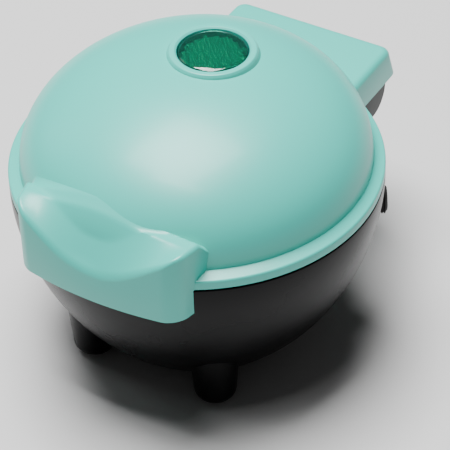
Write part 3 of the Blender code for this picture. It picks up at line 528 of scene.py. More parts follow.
@dataclass
class LidShell:
    """Dome, rim, handle, hinge box and lens collar, in one colour."""

    env: Envelope = ENVELOPE
    ledge_outer: float = 0.0009
    skin: float = 0.0012
    front_bow: float = 0.00353
    front_reach: float = 0.06715
    half_width: float = 0.03225
    flare: float = 0.0042
    back: float = 0.0480
    drop: float = 0.0098
    horn: float = 0.0180
    scoop_start: float = 0.0587
    scoop_half: float = 0.0325
    scoop_power: float = 1.2
    scoop_slope: float = 1.33
    shoulder: float = 0.0550
    fillet_left: float = 0.0080
    fillet_right: float = 0.0018
    corner: float = 0.0055
    lip: float = 0.0018
    box_half: float = 0.0331
    box_top: float = 0.0072
    box_drop: float = 0.0069
    box_back_top: float = 0.0879
    box_back_low: float = 0.0932
    box_wall: float = 0.0020
    lug_outer: float = 0.0234
    lug_width: float = 0.0064
    lug_radius: float = 0.0075
    toe: float = 0.0088
    lens_back: float = 0.0135
    lens_radius: float = 0.0126
    collar_top: float = 0.0423
    collar_radius: float = 0.0161

    def leaned(self, shape: bmesh.types.BMesh, height: float) -> bmesh.types.BMesh:
        """Moves the dome's level sections back towards the top."""
        for vertex in shape.verts:
            rise = max(0.0, (vertex.co.z - self.env.dome_foot) / height)
            vertex.co.y += self.env.lean * rise**2
        return shape

    def dome(self) -> bpy.types.Object:
        """The thin dome with its ledge and rim, and the hole for the lens."""
        env = self.env
        outer = [
            (r, env.dome_foot + z) for r, z in superellipse(env.dome_radius, env.dome_height, env.dome_power)
        ]
        inner = [
            (r, env.dome_foot + z)
            for r, z in superellipse(env.dome_radius - env.wall, env.dome_height - env.wall, env.dome_power)
        ]
        ceiling = env.rim_height - self.skin
        bore = env.rim_radius - env.wall
        rim = rounded(
            [
                (env.rim_radius, env.rim_height), (env.rim_radius, 0), (bore, 0), (bore, ceiling),
                (inner[0][0], ceiling), (0, 0.01)
            ],
            [self.ledge_outer, 0.0004, 0.0003, 0, 0, 0],
        )[:-1]
        foot = [
            (env.dome_radius + 0.0008, env.dome_foot - 0.0003),
            (env.dome_radius + 0.0002, env.dome_foot - 0.00005)
        ]
        profile = [*reversed(outer), *reversed(foot), *rim, *inner]
        shell = loose_object(self.leaned(revolve(profile, 160, closed=False), env.dome_height), "dome")
        hole = rod_mesh((0, self.lens_back, 0.02), (0, self.lens_back, 0.06), self.collar_radius - 0.0012, 96)
        return combined(shell, "DIFFERENCE", [hole])

    def inside(self) -> bmesh.types.BMesh:
        """What the handle and the hinge box may not enter: the dome's room and the base's."""
        env = self.env
        wall = env.wall / 2
        curve = superellipse(env.dome_radius - wall, env.dome_height - wall, env.dome_power, count=24)
        profile = [(r, env.dome_foot + z) for r, z in reversed(curve)]
        reach = env.rim_radius + 2 * env.clearance
        profile += [
            (env.dome_radius - wall, env.rim_height - wall),
            (env.rim_radius - wall, env.rim_height - wall),
            (env.rim_radius - wall, env.clearance),
            (reach, env.clearance),
            (reach, -0.04),
            (0, -0.04),
        ]
        return self.leaned(revolve(profile, 160, closed=False), env.dome_height - wall)

    def plan(self, across: float, along: float) -> tuple[float, float, float]:
        """A point of the handle's plan.

        Args:
            across: -1 at the left wall and 1 at the right one.
            along: 0 at the front wall and 1 at the back.

        Returns:
            X, Y and the distance to the nearest wall.
        """
        half, corner = self.half_width, self.corner
        x = half * math.sin(across * math.pi / 2)
        bow = -(self.front_reach + self.front_bow * (1 - (x / half) ** 2))
        beyond = max(0.0, abs(x) - half + corner)
        front = bow + corner - math.sqrt(max(0.0, corner**2 - beyond**2))
        y = front + (-self.back - front) * along**1.6
        side = half - abs(x)
        if beyond > 0 and y < bow + corner:
            edge = corner - math.hypot(beyond, bow + corner - y)
        else:
            edge = min(side, y - bow)
        flare = self.flare * (y + self.front_reach) / (self.front_reach - self.back)
        return x + math.copysign(max(0.0, flare) * abs(x) / half, x), y, max(0.0, edge)

    def dome_above(self, x: float, y: float) -> float:
        """Height of the dome's surface over a point, or the rim's where there is no dome."""
        env, rise = self.env, 0.0
        for _ in range(8):
            share = math.hypot(x, y - env.lean * rise**2) / env.dome_radius
            rise = max(0.0, 1 - share**env.dome_power) ** (1 / env.dome_power) if share < 1 else 0.0
        return env.dome_foot + env.dome_height * rise if rise > 0 else 0.0

    def handle_top(self, x: float, y: float, edge: float) -> float:
        """Height of the handle's scooped top, with its fillet to the dome and its rounded lip."""
        falloff = max(0.0, 1 - (x / self.scoop_half) ** 2) ** self.scoop_power
        scoop = self.horn - self.scoop_slope * max(0.0, -self.scoop_start - y) * falloff
        scoop -= 1.2 * max(0.0, y + self.shoulder)
        dome = self.dome_above(x, y) - 0.0004
        turn = min(1.0, max(0.0, (x + 0.008) / 0.026))
        reach = self.fillet_left + (self.fillet_right - self.fillet_left) * turn * turn * (3 - 2 * turn)
        near = max(0.0, reach - abs(scoop - dome)) / reach
        top = max(scoop, dome) + near**2 * reach / 4
        inset = min(1.0, edge / self.lip)
        return top - self.lip * (1 - math.sqrt(1 - (1 - inset) ** 2))

    def handle(self) -> bpy.types.Object:
        """The scooped handle."""
        shape = bmesh.new()
        bmesh.ops.create_grid(shape, x_segments=96, y_segments=44, size=1)
        for vertex in shape.verts:
            x, y, edge = self.plan(vertex.co.x, (vertex.co.y + 1) / 2)
            vertex.co = (x, y, self.handle_top(x, y, edge))
        made = bmesh.ops.extrude_face_region(shape, geom=list(shape.faces))
        for item in made["geom"]:
            if isinstance(item, bmesh.types.BMVert):
                item.co.z = -self.drop
        bmesh.ops.recalc_face_normals(shape, faces=shape.faces)
        low = [e for e in sharp_edges(shape, 50) if max(v.co.z for v in e.verts) < -self.drop + 0.0005]
        soften(shape, low, 0.0005, 3)
        return combined(loose_object(shape, "handle"), "DIFFERENCE", [self.inside()])

    def hinge_box(self) -> bpy.types.Object:
        """The box over the hinge, hollow from below, with its two lugs."""
        front = self.env.rim_radius - 0.018
        shape = box_mesh(
            (-self.box_half, front, -self.box_drop), (self.box_half, self.box_back_low, self.box_top)
        )
        for vertex in shape.verts:
            if vertex.co.y > front + WELD and vertex.co.z > 0:
                vertex.co.y = self.box_back_top
        rear = [
            e for e in shape.edges
            if all(v.co.y > front + WELD for v in e.verts)
            and abs(e.verts[0].co.x - e.verts[1].co.x) < WELD
        ]
        soften(shape, rear, 0.0042, 6)
        top = [e for e in sharp_edges(shape, 40) if all(v.co.z > self.box_top - WELD for v in e.verts)]
        soften(shape, [e for e in top if max(v.co.y for v in e.verts) > front + WELD], 0.0026, 5)
        low = [e for e in sharp_edges(shape, 50) if all(v.co.z < -self.box_drop + WELD for v in e.verts)]
        soften(shape, low, 0.0005, 2)
        box = loose_object(shape, "hinge_box")
        slant = (self.box_back_low - self.box_back_top) / (self.box_top + self.box_drop)
        hollow = box_mesh(
            (-self.box_half + self.box_wall, front - 0.01, -0.03),
            (
                self.box_half - self.box_wall, self.box_back_top - 2 * self.box_wall,
                self.box_top - self.box_wall
            ),
        )
        for vertex in hollow.verts:
            if vertex.co.y > 0.06:
                vertex.co.y = self.box_back_top - 1.1 * self.box_wall + slant * (self.box_top - vertex.co.z)
        soften(hollow, sharp_edges(hollow, 50), 0.0010, 3)
        combined(box, "DIFFERENCE", [hollow, self.inside()])
        for sign in (-1, 1):
            ends = sorted((sign * self.lug_outer, sign * (self.lug_outer - self.lug_width)))
            combined(box, "UNION", [self.lug(ends)])
            start, end = (ends[0] - 0.001, HINGE.y, HINGE.z), (ends[1] + 0.001, HINGE.y, HINGE.z)
            combined(box, "DIFFERENCE", [rod_mesh(start, end, 0.0018, 32)])
        return box

    def lug(self, ends: Sequence[float]) -> bmesh.types.BMesh:
        """One hanging lug with its toe, between two X values."""
        eye = rod_mesh((ends[0], HINGE.y, HINGE.z), (ends[1], HINGE.y, HINGE.z), self.lug_radius)
        half = 0.8 * self.lug_radius
        arm = box_mesh(
            (ends[0], HINGE.y - half, HINGE.z), (ends[1], HINGE.y + half, self.box_top - self.box_wall / 2)
        )
        shape = hull_of(eye, arm)
        soften(shape, sharp_edges(shape, 50), 0.0005, 2)
        toe = box_mesh(
            (ends[0] + 0.0001, HINGE.y + 0.0005, HINGE.z - self.toe),
            (ends[1] - 0.0001, HINGE.y + half - 0.0001, HINGE.z + 0.001),
        )
        soften(toe, sharp_edges(toe, 50), 0.0005, 2)
        lug = combined(loose_object(shape, "lug"), "UNION", [toe])
        made = bmesh.new()
        made.from_mesh(lug.data)
        bpy.data.objects.remove(lug, do_unlink=True)
        return made

    def collar(self) -> bmesh.types.BMesh:
        """The raised ring round the lens, with its crisp edge and the step under the lens."""
        top, outer, bore = self.collar_top, self.collar_radius, self.lens_radius + self.env.clearance
        outline = [
            (outer, top - 0.0010),
            (outer - 0.0006, top),
            (bore + 0.0007, top),
            (bore, top - 0.0006),
            (bore, top - 0.0040),
            (outer - 0.0009, top - 0.0040),
            (outer - 0.0009, top - 0.0100),
            (outer + 0.0009, top - 0.0100),
            (outer + 0.0009, top - 0.0036),
        ]
        shape = revolve(rounded(outline, [0.0012, 0.0007, 0.0002, 0.0002, 0, 0, 0, 0.0003, 0.0010], 4), 96)
        bmesh.ops.translate(shape, verts=shape.verts, vec=(0, self.lens_back, 0))
        return shape

    def build(self, mint: bpy.types.Material) -> None:
        """Makes and dresses the four mouldings of the lid."""
        present(self.dome(), "lid_dome", Body.LID, mint, ["lid_shell"], 30)
        present(self.handle(), "lid_handle", Body.LID, mint, crease=30)
        present(self.hinge_box(), "lid_hinge_box", Body.LID, mint, crease=30)
        present(self.collar(), "lens_collar", Body.LID, mint, crease=35)


@dataclass
class Indicator:
    """The green lens: a smooth crown over a field of prisms."""

    radius: float = 0.0126
    back: float = 0.0135
    top: float = 0.0417
    crown: float = 0.0010
    thickness: float = 0.0012
    prism_pitch: float = 0.0013
    prism_depth: float = 0.0006
    flange: float = 0.0023
    seat: float = 0.0383

    def cover(self) -> bmesh.types.BMesh:
        """The crowned disc and the skirt and flange that hold it."""
        edge, low = self.top - 0.0003, self.seat - 0.0003
        outer = [(self.radius * i / 10, self.top + self.crown * (1 - (i / 10) ** 2)) for i in range(10)]
        rim = [(self.radius - 0.0002, edge), (self.radius, edge - 0.0003), (self.radius, low)]
        under = [
            (self.radius + self.flange, low),
            (self.radius + self.flange, low - 0.0011),
            (self.radius - 0.0012, low - 0.0011),
            (self.radius - 0.0012, edge - self.thickness),
            (0, self.top + self.crown - self.thickness),
        ]
        shape = revolve([*outer, *rim, *under], 96, closed=False)
        bmesh.ops.translate(shape, verts=shape.verts, vec=(0, self.back, 0))
        return shape

    def prisms(self) -> bmesh.types.BMesh:
        """A plate of small pyramids under the crown."""
        reach = self.radius - 0.0014
        shape = bmesh.new()
        count = int(2 * reach / self.prism_pitch)
        bmesh.ops.create_grid(shape, x_segments=count, y_segments=count, size=reach)
        bmesh.ops.rotate(shape, verts=shape.verts, matrix=Matrix.Rotation(math.radians(45), 3, "Z"))
        far = [f for f in shape.faces if f.calc_center_median().length > reach - self.prism_pitch / 2]
        bmesh.ops.delete(shape, geom=far, context="FACES")
        bmesh.ops.solidify(shape, geom=list(shape.faces), thickness=0.0008)
        bmesh.ops.recalc_face_normals(shape, faces=shape.faces)
        upper = [f for f in shape.faces if f.normal.z > 0.5]
        bmesh.ops.poke(shape, faces=upper, offset=self.prism_depth, center_mode="MEAN")
        highest = self.top - self.thickness - self.prism_depth - 0.0009
        bmesh.ops.translate(shape, verts=shape.verts, vec=(0, self.back, highest))
        return shape

    def build(self, crown: bpy.types.Material, prisms: bpy.types.Material) -> None:
        """Makes and dresses the lens."""
        present(self.cover(), "indicator_lens_crown", Body.LID, crown, ["indicator_lens"])
        present(self.prisms(), "indicator_lens_prisms", Body.LID, prisms, crease=5)


# ---------------------------------------------------------------- base

@dataclass
class BaseShell:
    """The black bowl with its legs and the two hinge cheeks."""

    env: Envelope = ENVELOPE
    floor: float = 0.0046
    cover_radius: float = 0.0245
    cover_depth: float = 0.0022
    opening: float = 0.0177
    leg_spread: float = 0.0261
    leg_reach: float = 0.0348
    leg_tip: float = 0.0076
    leg_fillet: float = 0.0044
    leg_root: float = 0.0098
    leg_rise: float = 0.0300
    foot: float = -0.0724
    cheek_outer: float = 0.0304
    cheek_width: float = 0.0064
    cheek_radius: float = 0.0100
    web_drop: float = 0.0030
    stop_reach: float = 0.0095
    toe: float = 0.0088

    def legs_at(self) -> list[Point]:
        """Where the four legs stand, front pair first."""
        return [(sx * self.leg_spread, sy * self.leg_reach) for sy in (-1, 1) for sx in (-1, 1)]

    def curve(self, inset: float, depth: float, count: int) -> list[Point]:
        """The bowl's line at an inset from its outside, top to bottom."""
        env = self.env
        full = env.bowl_full_depth - inset
        line = superellipse(env.rim_radius - inset, full, env.bowl_power, depth / full, count)
        return [(r, -env.bowl_start - z) for r, z in line]

    def bowl(self) -> bmesh.types.BMesh:
        """The bowl as one turned wall, open under the cover."""
        env = self.env
        outer = self.curve(0, env.bowl_depth, 48)
        inner = self.curve(env.wall, env.bowl_depth - self.floor, 32)
        bottom = outer[-1][1]
        seat = self.cover_radius + env.clearance
        lip = rounded(
            [
                (env.rim_radius - env.wall, -env.seam_gap), (env.rim_radius, -env.seam_gap),
                (env.rim_radius, -env.bowl_start), (0.05, -0.02)
            ],
            [0.0003, 0.0005, 0, 0],
        )[:-2]
        under = [
            (outer[-1][0] - 0.0012, bottom),
            (seat, bottom),
            (seat, bottom + self.cover_depth),
            (self.opening, bottom + self.cover_depth),
            (self.opening, inner[-1][1]),
        ]
        return revolve([*lip, *outer, *under, *reversed(inner)], 160)

    def inside(self, inset: float) -> bmesh.types.BMesh:
        """The room inside the bowl, for cutting what is moulded to its outside."""
        curve = self.curve(inset, self.env.bowl_depth - inset, 24)
        return revolve([(0, 0.02), (curve[0][0], 0.02), *curve, (0, curve[-1][1])], 96, closed=False)

    def leg(self, x: float, y: float) -> bpy.types.Object:
        """One tapered leg with a rounded end."""
        outline = [
            (0, self.foot + self.leg_rise),
            (self.leg_root, self.foot + self.leg_rise),
            (self.leg_tip, self.foot),
            (0, self.foot),
        ]
        shape = revolve(rounded(outline, [0, 0, self.leg_fillet, 0], 8), 64)
        bmesh.ops.translate(shape, verts=shape.verts, vec=(x, y, 0))
        made = loose_object(shape, "leg")
        seat = rod_mesh((x, y, self.foot - 0.01), (x, y, self.foot + 0.0010), 0.0029, 48)
        return combined(made, "DIFFERENCE", [self.inside(self.env.wall / 2), seat])

    def cheek(self, sign: int) -> bpy.types.Object:
        """One hinge cheek with its rounded end."""
        ends = sorted((sign * self.cheek_outer, sign * (self.cheek_outer - self.cheek_width)))
        eye = rod_mesh((ends[0], HINGE.y, HINGE.z), (ends[1], HINGE.y, HINGE.z), self.cheek_radius, 64)
        low = HINGE.z - 0.9 * self.cheek_radius
        web = box_mesh((ends[0], self.env.rim_radius - 0.012, low), (ends[1], HINGE.y, -self.web_drop))
        shape = hull_of(eye, web)
        soften(shape, sharp_edges(shape, 50), 0.0008, 3)
        made = loose_object(shape, "cheek")
        pin = rod_mesh(
            (ends[0] + 0.0015 * (sign < 0), HINGE.y, HINGE.z),
            (ends[1] - 0.0015 * (sign > 0), HINGE.y, HINGE.z), 0.0018, 32
        )
        return combined(made, "DIFFERENCE", [self.inside(self.env.wall / 2), pin])

    def stop(self, sign: int) -> bpy.types.Object:
        """The block that a lug's toe meets when the lid is fully open."""
        ends = sorted((sign * 0.0234, sign * 0.0170))
        shape = box_mesh(
            (ends[0], self.env.rim_radius - 0.012, HINGE.z - self.toe),
            (ends[1], HINGE.y - self.stop_reach, HINGE.z + 0.0020),
        )
        soften(shape, sharp_edges(shape, 50), 0.0005, 2)
        return combined(loose_object(shape, "stop"), "DIFFERENCE", [self.inside(self.env.wall / 2)])

    def build(self, black: bpy.types.Material, grey: bpy.types.Material) -> None:
        """Makes and dresses the base's mouldings."""
        present(self.bowl(), "base_bowl", Body.BASE, black, ["base_shell"], 30)
        for i, (x, y) in enumerate(self.legs_at()):
            present(self.leg(x, y), f"base_leg_{i + 1}", Body.BASE, black, crease=35)
        for sign, side in ((-1, "left"), (1, "right")):
            present(self.cheek(sign), f"hinge_cheek_{side}", Body.BASE, grey, crease=35)
            present(self.stop(sign), f"hinge_stop_{side}", Body.BASE, grey, crease=35)


@dataclass
class Underside:
    """Foot pads, vented cover and cord gland."""

    shell: BaseShell
    pad_radius: float = 0.0026
    pad_proud: float = 0.0010
    vent_count: int = 5
    vent_pitch: float = 0.0065
    vent_width: float = 0.0025
    gland_angle: float = math.radians(32)
    gland_drop: float = 0.0190
    gland_radius: float = 0.0055

    def pad(self, x: float, y: float) -> bmesh.types.BMesh:
        """One soft foot pad with three moulded rings."""
        low, high = self.shell.foot - self.pad_proud, self.shell.foot + 0.0007
        rings = []
        for i in range(3):
            r = self.pad_radius * (0.28 + 0.22 * i)
            rings += [(r - 0.0003, low), (r, low + 0.0003), (r + 0.0003, low)]
        outline = [
            (0, high), (self.pad_radius, high), (self.pad_radius, low + 0.0003),
            (self.pad_radius - 0.0003, low)
        ]
        shape = revolve([*outline, *reversed(rings), (0, low)], 48, closed=False)
        bmesh.ops.translate(shape, verts=shape.verts, vec=(x, y, 0))
        return shape

    def cover(self) -> bpy.types.Object:
        """The disc under the bowl, with its vents and screw holes."""
        env = self.shell.env
        low = -env.bowl_start - env.bowl_depth + 0.0001
        radius = self.shell.cover_radius
        outline = [(0, low + 0.0018), (radius, low + 0.0018), (radius, low), (0, low)]
        disc = loose_object(revolve(rounded(outline, [0, 0.0002, 0.0004, 0], 3), 96), "cover")
        cutters = []
        inset = 0.0034
        for i in range(self.vent_count):
            y = (i - (self.vent_count - 1) / 2) * self.vent_pitch
            half = math.sqrt((radius - 2.2 * inset) ** 2 - y**2)
            slot = box_mesh(
                (-half, y - self.vent_width / 2, low - 0.01), (half, y + self.vent_width / 2, low + 0.01)
            )
            soften(
                slot, [e for e in slot.edges if abs(e.verts[0].co.z - e.verts[1].co.z) > 0.01],
                0.45 * self.vent_width, 5
            )
            cutters.append(slot)
        for i in range(4):
            angle = math.pi / 4 + i * math.pi / 2
            x, y = (radius - inset) * math.cos(angle), (radius - inset) * math.sin(angle)
            cutters.append(rod_mesh((x, y, low - 0.01), (x, y, low + 0.01), 0.0017, 24))
        return combined(disc, "DIFFERENCE", cutters)

    def gland(self) -> bmesh.types.BMesh:
        """The rubber bush that the mains cord would pass through, with three grip rings."""
        bore, radius = 0.0019, self.gland_radius
        reach = 0.0065
        outline = [(bore, 0), (radius - 0.0006, 0)]
        for i in range(3):
            z = reach * (0.56 + 0.14 * i)
            outline += [
                (radius - 0.0006, z - 0.0004), (radius, z - 0.0001), (radius, z + 0.0003),
                (radius - 0.0006, z + 0.0005)
            ]
        outline += [(radius - 0.0012, reach), (bore + 0.0004, reach), (bore, reach - 0.0004)]
        shape = revolve(outline, 64)
        turn = Vector((0, 0, 1)).rotation_difference(
            Vector((math.cos(self.gland_angle), math.sin(self.gland_angle), 0))
        )
        start = self.shell.env.rim_radius - 0.0055
        foot = Vector(
            (start * math.cos(self.gland_angle), start * math.sin(self.gland_angle), -self.gland_drop)
        )
        bmesh.ops.transform(
            shape, verts=shape.verts, matrix=Matrix.Translation(foot) @ turn.to_matrix().to_4x4()
        )
        return shape

    def build(self, rubber: bpy.types.Material, phenolic: bpy.types.Material) -> None:
        """Makes and dresses the pieces under and behind the base."""
        for i, (x, y) in enumerate(self.shell.legs_at()):
            present(
                self.pad(x, y), f"foot_pad_ringed_{i + 1}", Body.BASE, rubber,
                [f"foot_pad_{i + 1}"]
            )
        present(self.cover(), "bottom_cover_vented", Body.BASE, phenolic, ["bottom_cover"])
        present(self.gland(), "cord_gland_bush", Body.BASE, rubber, ["cord_gland"])


# ---------------------------------------------------------------- cooking side

@dataclass
class CookingPlates:
    """The two waffle plates and the rings that hold them."""

    env: Envelope = ENVELOPE
    frame_width: float = 0.0086
    frame_lip: float = 0.0017
    frame_depth: float = 0.0050
    plate: float = 0.0024
    flange: float = 0.0035
    depth: float = 0.0391
    draft: float = math.radians(23.8)
    gap: float = 0.0058
    fillet: float = 0.0060
    rib_height: float = 0.0017
    rib_width: float = 0.0022
    rib_count: int = 20
    ring_count: int = 4
    screw_inset: float = 0.0062

    @property
    def frame_outer(self) -> float:
        """Outer radius of both rings."""
        return self.env.rim_radius - self.env.wall - self.env.clearance

    @property
    def plate_radius(self) -> float:
        """Outer radius of both plates."""
        return self.frame_outer - self.frame_width - self.env.clearance

    def bowl_line(self, mouth: float, top: float, floor: float, fillet: float) -> list[Point]:
        """Tapered wall and filleted floor, from the mouth to the axis."""
        corner = mouth - (top - floor) * math.tan(self.draft)
        centre = (corner - fillet / math.tan((math.pi / 2 + self.draft) / 2), floor + fillet)
        made = [(mouth, top)]
        sweep = math.pi / 2 - self.draft
        for i in range(9):
            angle = -self.draft - sweep * i / 8
            made.append((centre[0] + fillet * math.cos(angle), centre[1] + fillet * math.sin(angle)))
        return [*made, (0, floor)]

    def along(self, line: Sequence[Point], share: float) -> tuple[Vector, Vector]:
        """The point at a share of a line's length, and the line's direction there."""
        points = [Vector(p) for p in line]
        lengths = [(b - a).length for a, b in zip(points, points[1:])]
        left = share * sum(lengths)
        for a, b, length in zip(points, points[1:], lengths):
            if left <= length:
                return a + (b - a) * left / length, (b - a).normalized()
            left -= length
        return points[-1], (points[-1] - points[-2]).normalized()

    def ribs(self, line: Sequence[Point], side: int) -> bmesh.types.BMesh:
        """The waffle grid on one face.

        Args:
            line: The face's line from the mouth to the axis.
            side: 1 for ribs into the lower bowl, -1 for ribs out of the upper one.

        Returns:
            Radial ribs and rings, each closed and sunk a little into the plate.
        """
        made = bmesh.new()
        first, last = 0.06, 0.80
        shares = [first + (last - first) * i / 26 for i in range(27)]
        sunk, tall = -0.0004 * side, self.rib_height * side
        low, high = [], []
        for share in shares:
            point, way = self.along(line, share)
            normal = Vector((way.y, -way.x))
            ease = min(1.0, (share - first) / 0.03 + 0.25, (last - share) / 0.03 + 0.25)
            low.append(point + normal * sunk)
            high.append(point + normal * tall * ease)
        rib = bmesh.new()
        verts = [rib.verts.new((p.x, -self.rib_width / 2, p.y)) for p in [*low, *reversed(high)]]
        rib.faces.new(verts)
        out = bmesh.ops.extrude_face_region(rib, geom=list(rib.faces))
        moved = [g for g in out["geom"] if isinstance(g, bmesh.types.BMVert)]
        bmesh.ops.translate(rib, verts=moved, vec=(0, self.rib_width, 0))
        bmesh.ops.recalc_face_normals(rib, faces=rib.faces)
        tops = {tuple(p) for p in high}
        crest = [
            e
            for e in sharp_edges(rib, 60)
            if all(any((Vector((v.co.x, v.co.z)) - Vector(t)).length < WELD for t in tops) for v in e.verts)
            and abs(e.verts[0].co.y - e.verts[1].co.y) < WELD
        ]
        soften(rib, crest, 0.0005, 2)
        for i in range(self.rib_count):
            turned = rib.copy()
            angle = math.tau * i / self.rib_count
            bmesh.ops.rotate(turned, verts=turned.verts, matrix=Matrix.Rotation(angle, 3, "Z"))
            add_to(made, turned)
        rib.free()
        for i in range(self.ring_count):
            share = first + (last - first) * (i + 0.5) / (self.ring_count - 0.5)
            point, way = self.along(line, min(share, last))
            normal = Vector((way.y, -way.x))
            half = way * self.rib_width / 2
            crown = half * 0.55
            corners = [
                point - half + normal * sunk, point - half + normal * tall * 0.6,
                point - crown + normal * tall
            ]
            corners += [
                point + crown + normal * tall, point + half + normal * tall * 0.6,
                point + half + normal * sunk
            ]
            add_to(made, revolve([(p.x, p.y) for p in corners], 96))
        return made

    def lower_plate(self) -> bmesh.types.BMesh:
        """The hollow plate with its waffle grid."""
        top = -self.env.seam_gap - 0.0005
        mouth = self.plate_radius - self.flange
        face = self.bowl_line(mouth, top, top - self.depth, self.fillet)
        back_mouth = mouth + self.plate / math.cos(self.draft) - self.plate * math.tan(self.draft)
        back = self.bowl_line(
            back_mouth, top - self.plate, top - self.depth - self.plate, self.fillet + self.plate
        )
        shape = revolve(
            [*reversed(face), (self.plate_radius, top), (self.plate_radius, top - self.plate), *back], 128,
            closed=False
        )
        add_to(shape, self.ribs(face, 1))
        return shape

    def upper_plate(self) -> bmesh.types.BMesh:
        """The plate that reaches down into the lower one."""
        bottom = self.env.clearance
        floor = -self.env.seam_gap - 0.0005 - self.depth + self.gap
        mouth = (
            self.plate_radius - self.flange
            - (self.gap + 0.0012 * math.sin(self.draft)) / math.cos(self.draft)
        )
        face = self.bowl_line(mouth, bottom, floor, self.fillet)
        inner_mouth = mouth - self.plate / math.cos(self.draft) + self.plate * math.tan(self.draft)
        inner = self.bowl_line(inner_mouth, bottom + self.plate, floor + self.plate, self.fillet - self.plate)
        profile = [
            *reversed(face), (self.plate_radius, bottom), (self.plate_radius, bottom + self.plate), *inner
        ]
        shape = revolve(profile, 128, closed=False)
        add_to(shape, self.ribs(face, -1))
        return shape

    def ring(self, upper: bool) -> bpy.types.Object:
        """One of the two frames, with its screw recesses on the lid's."""
        inner = self.frame_outer - self.frame_width
        lip = inner - self.frame_lip
        if upper:
            low = self.env.clearance
            high = low + self.frame_depth
            shelf = self.env.rim_height - 0.0015
            inside = self.env.dome_radius - self.env.wall - self.env.clearance
            ledge = low + self.plate + self.env.clearance
            outline = [(lip, high), (inside, high), (inside, shelf), (self.frame_outer, shelf)]
            outline += [(self.frame_outer, low), (inner, low), (inner, ledge), (lip, ledge)]
            radii = [0, 0.0003, 0, 0.0002, 0.0004, 0.0004, 0, 0]
        else:
            high = -self.env.seam_gap - 0.0005
            low = high - self.frame_depth
            ledge = high - self.plate - self.env.clearance
            outline = [
                (inner, high), (self.frame_outer, high), (self.frame_outer, low), (lip, low), (lip, ledge),
                (inner, ledge)
            ]
            radii = [0.0004, 0.0004, 0.0002, 0, 0, 0]
        made = loose_object(revolve(rounded(outline, radii, 3), 128), "ring")
        if upper:
            cutters = []
            for x, y in self.screw_places():
                cutters.append(rod_mesh((x, y, -0.01), (x, y, low + 0.0016), 0.0027, 32))
                cutters.append(rod_mesh((x, y, -0.01), (x, y, 0.01), 0.0017, 24))
            cutters.append(box_mesh((0.0028, inner - 0.006, 0.0012), (0.0074, 0.07, 0.0065)))
            combined(made, "DIFFERENCE", cutters)
        return made

    def screw_places(self) -> list[Point]:
        """Where the four screws of each ring are."""
        circle = self.frame_outer - self.screw_inset
        angles = [math.pi / 4 + i * math.pi / 2 for i in range(4)]
        return [(circle * math.cos(a), circle * math.sin(a)) for a in angles]

    def build(self, coat: bpy.types.Material, phenolic: bpy.types.Material) -> None:
        """Makes and dresses plates and rings."""
        present(self.lower_plate(), "lower_waffle_plate", Body.BASE, coat, ["lower_plate"], 30)
        present(self.upper_plate(), "upper_waffle_plate", Body.LID, coat, ["upper_plate"], 30)
        present(self.ring(False), "lower_plate_ring", Body.BASE, phenolic, ["lower_frame"], 35)
        present(self.ring(True), "upper_plate_ring", Body.LID, phenolic, ["upper_frame"], 35)


@dataclass
class Screws:
    """Pan-head screws with a cross recess, where they can be seen."""

    shank: float = 0.0014
    head: float = 0.0024
    head_height: float = 0.0012

    def screw(self, x: float, y: float, face: float, length: float) -> bpy.types.Object:
        """One screw whose head's outer face is at this height and whose shank runs up."""
        outline = [
            (0, face + length),
            (self.shank - 0.0005, face + length),
            (self.shank, face + length - 0.0008),
            (self.shank, face + self.head_height),
            (self.head, face + self.head_height),
            (self.head, face + 0.0004),
            (self.head - 0.0005, face + 0.0001),
            (0, face),
        ]
        shape = revolve(outline, 32, closed=False)
        bmesh.ops.translate(shape, verts=shape.verts, vec=(x, y, 0))
        cutters = []
        for half_x, half_y in ((0.0014, 0.0003), (0.0003, 0.0014)):
            cutters.append(
                box_mesh((x - half_x, y - half_y, face - 0.001), (x + half_x, y + half_y, face + 0.0008))
            )
        return combined(loose_object(shape, "screw"), "DIFFERENCE", cutters)

    def build(self, plates: CookingPlates, shell: BaseShell, zinc: bpy.types.Material) -> None:
        """Makes and dresses the eight screws that show."""
        face = plates.env.clearance + 0.0001
        for i, (x, y) in enumerate(plates.screw_places()):
            name = f"upper_frame_screw_{i + 1}"
            present(self.screw(x, y, face, 0.0080), f"{name}_crossed", Body.LID, zinc, [name], 30)
        face = -shell.env.bowl_start - shell.env.bowl_depth - 0.0014
        circle = shell.cover_radius - 0.0034
        for i in range(4):
            angle = math.pi / 4 + i * math.pi / 2
            name = f"cover_screw_{i + 1}"
            made = self.screw(circle * math.cos(angle), circle * math.sin(angle), face, 0.0060)
            present(made, f"{name}_crossed", Body.BASE, zinc, [name], 30)


# ---------------------------------------------------------------- what stays from the CAD part

def dress_inner_nodes(finishes: Finishes, zinc: bpy.types.Material) -> None:
    """Gives every CAD node that is still shown its real finish."""
    made = {
        "sheath": finishes.sheath.material(),
        "sheet": finishes.sheet.material(),
        "steatite": finishes.steatite.material(),
        "sleeve": finishes.sleeve.material(),
        "glass": finishes.envelope.material(),
        "zinc": zinc,
    }
    kinds = {
        "sheath": ("lower_element", "upper_element"),
        "sheet": ("lower_heat_shield", "upper_heat_shield"),
        "steatite": (
            "lower_thermostat",
            "upper_thermostat",
            "lower_thermal_fuse",
            "upper_thermal_fuse",
            "terminal_block",
            "lamp_holder",
        ),
        "sleeve": ("base_lead", "lid_lead"),
        "glass": ("indicator_lamp",),
    }
    chosen = {name: kind for kind, names in kinds.items() for name in names}
    for name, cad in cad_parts.items():
        if cad.hide_render:
            continue
        surface = made[chosen.get(name, "zinc")]
        cad.data.materials.clear()
        cad.data.materials.append(surface)
        LOG.info("%s keeps its CAD shape, in %s", name, surface.name)


# ---------------------------------------------------------------- studio

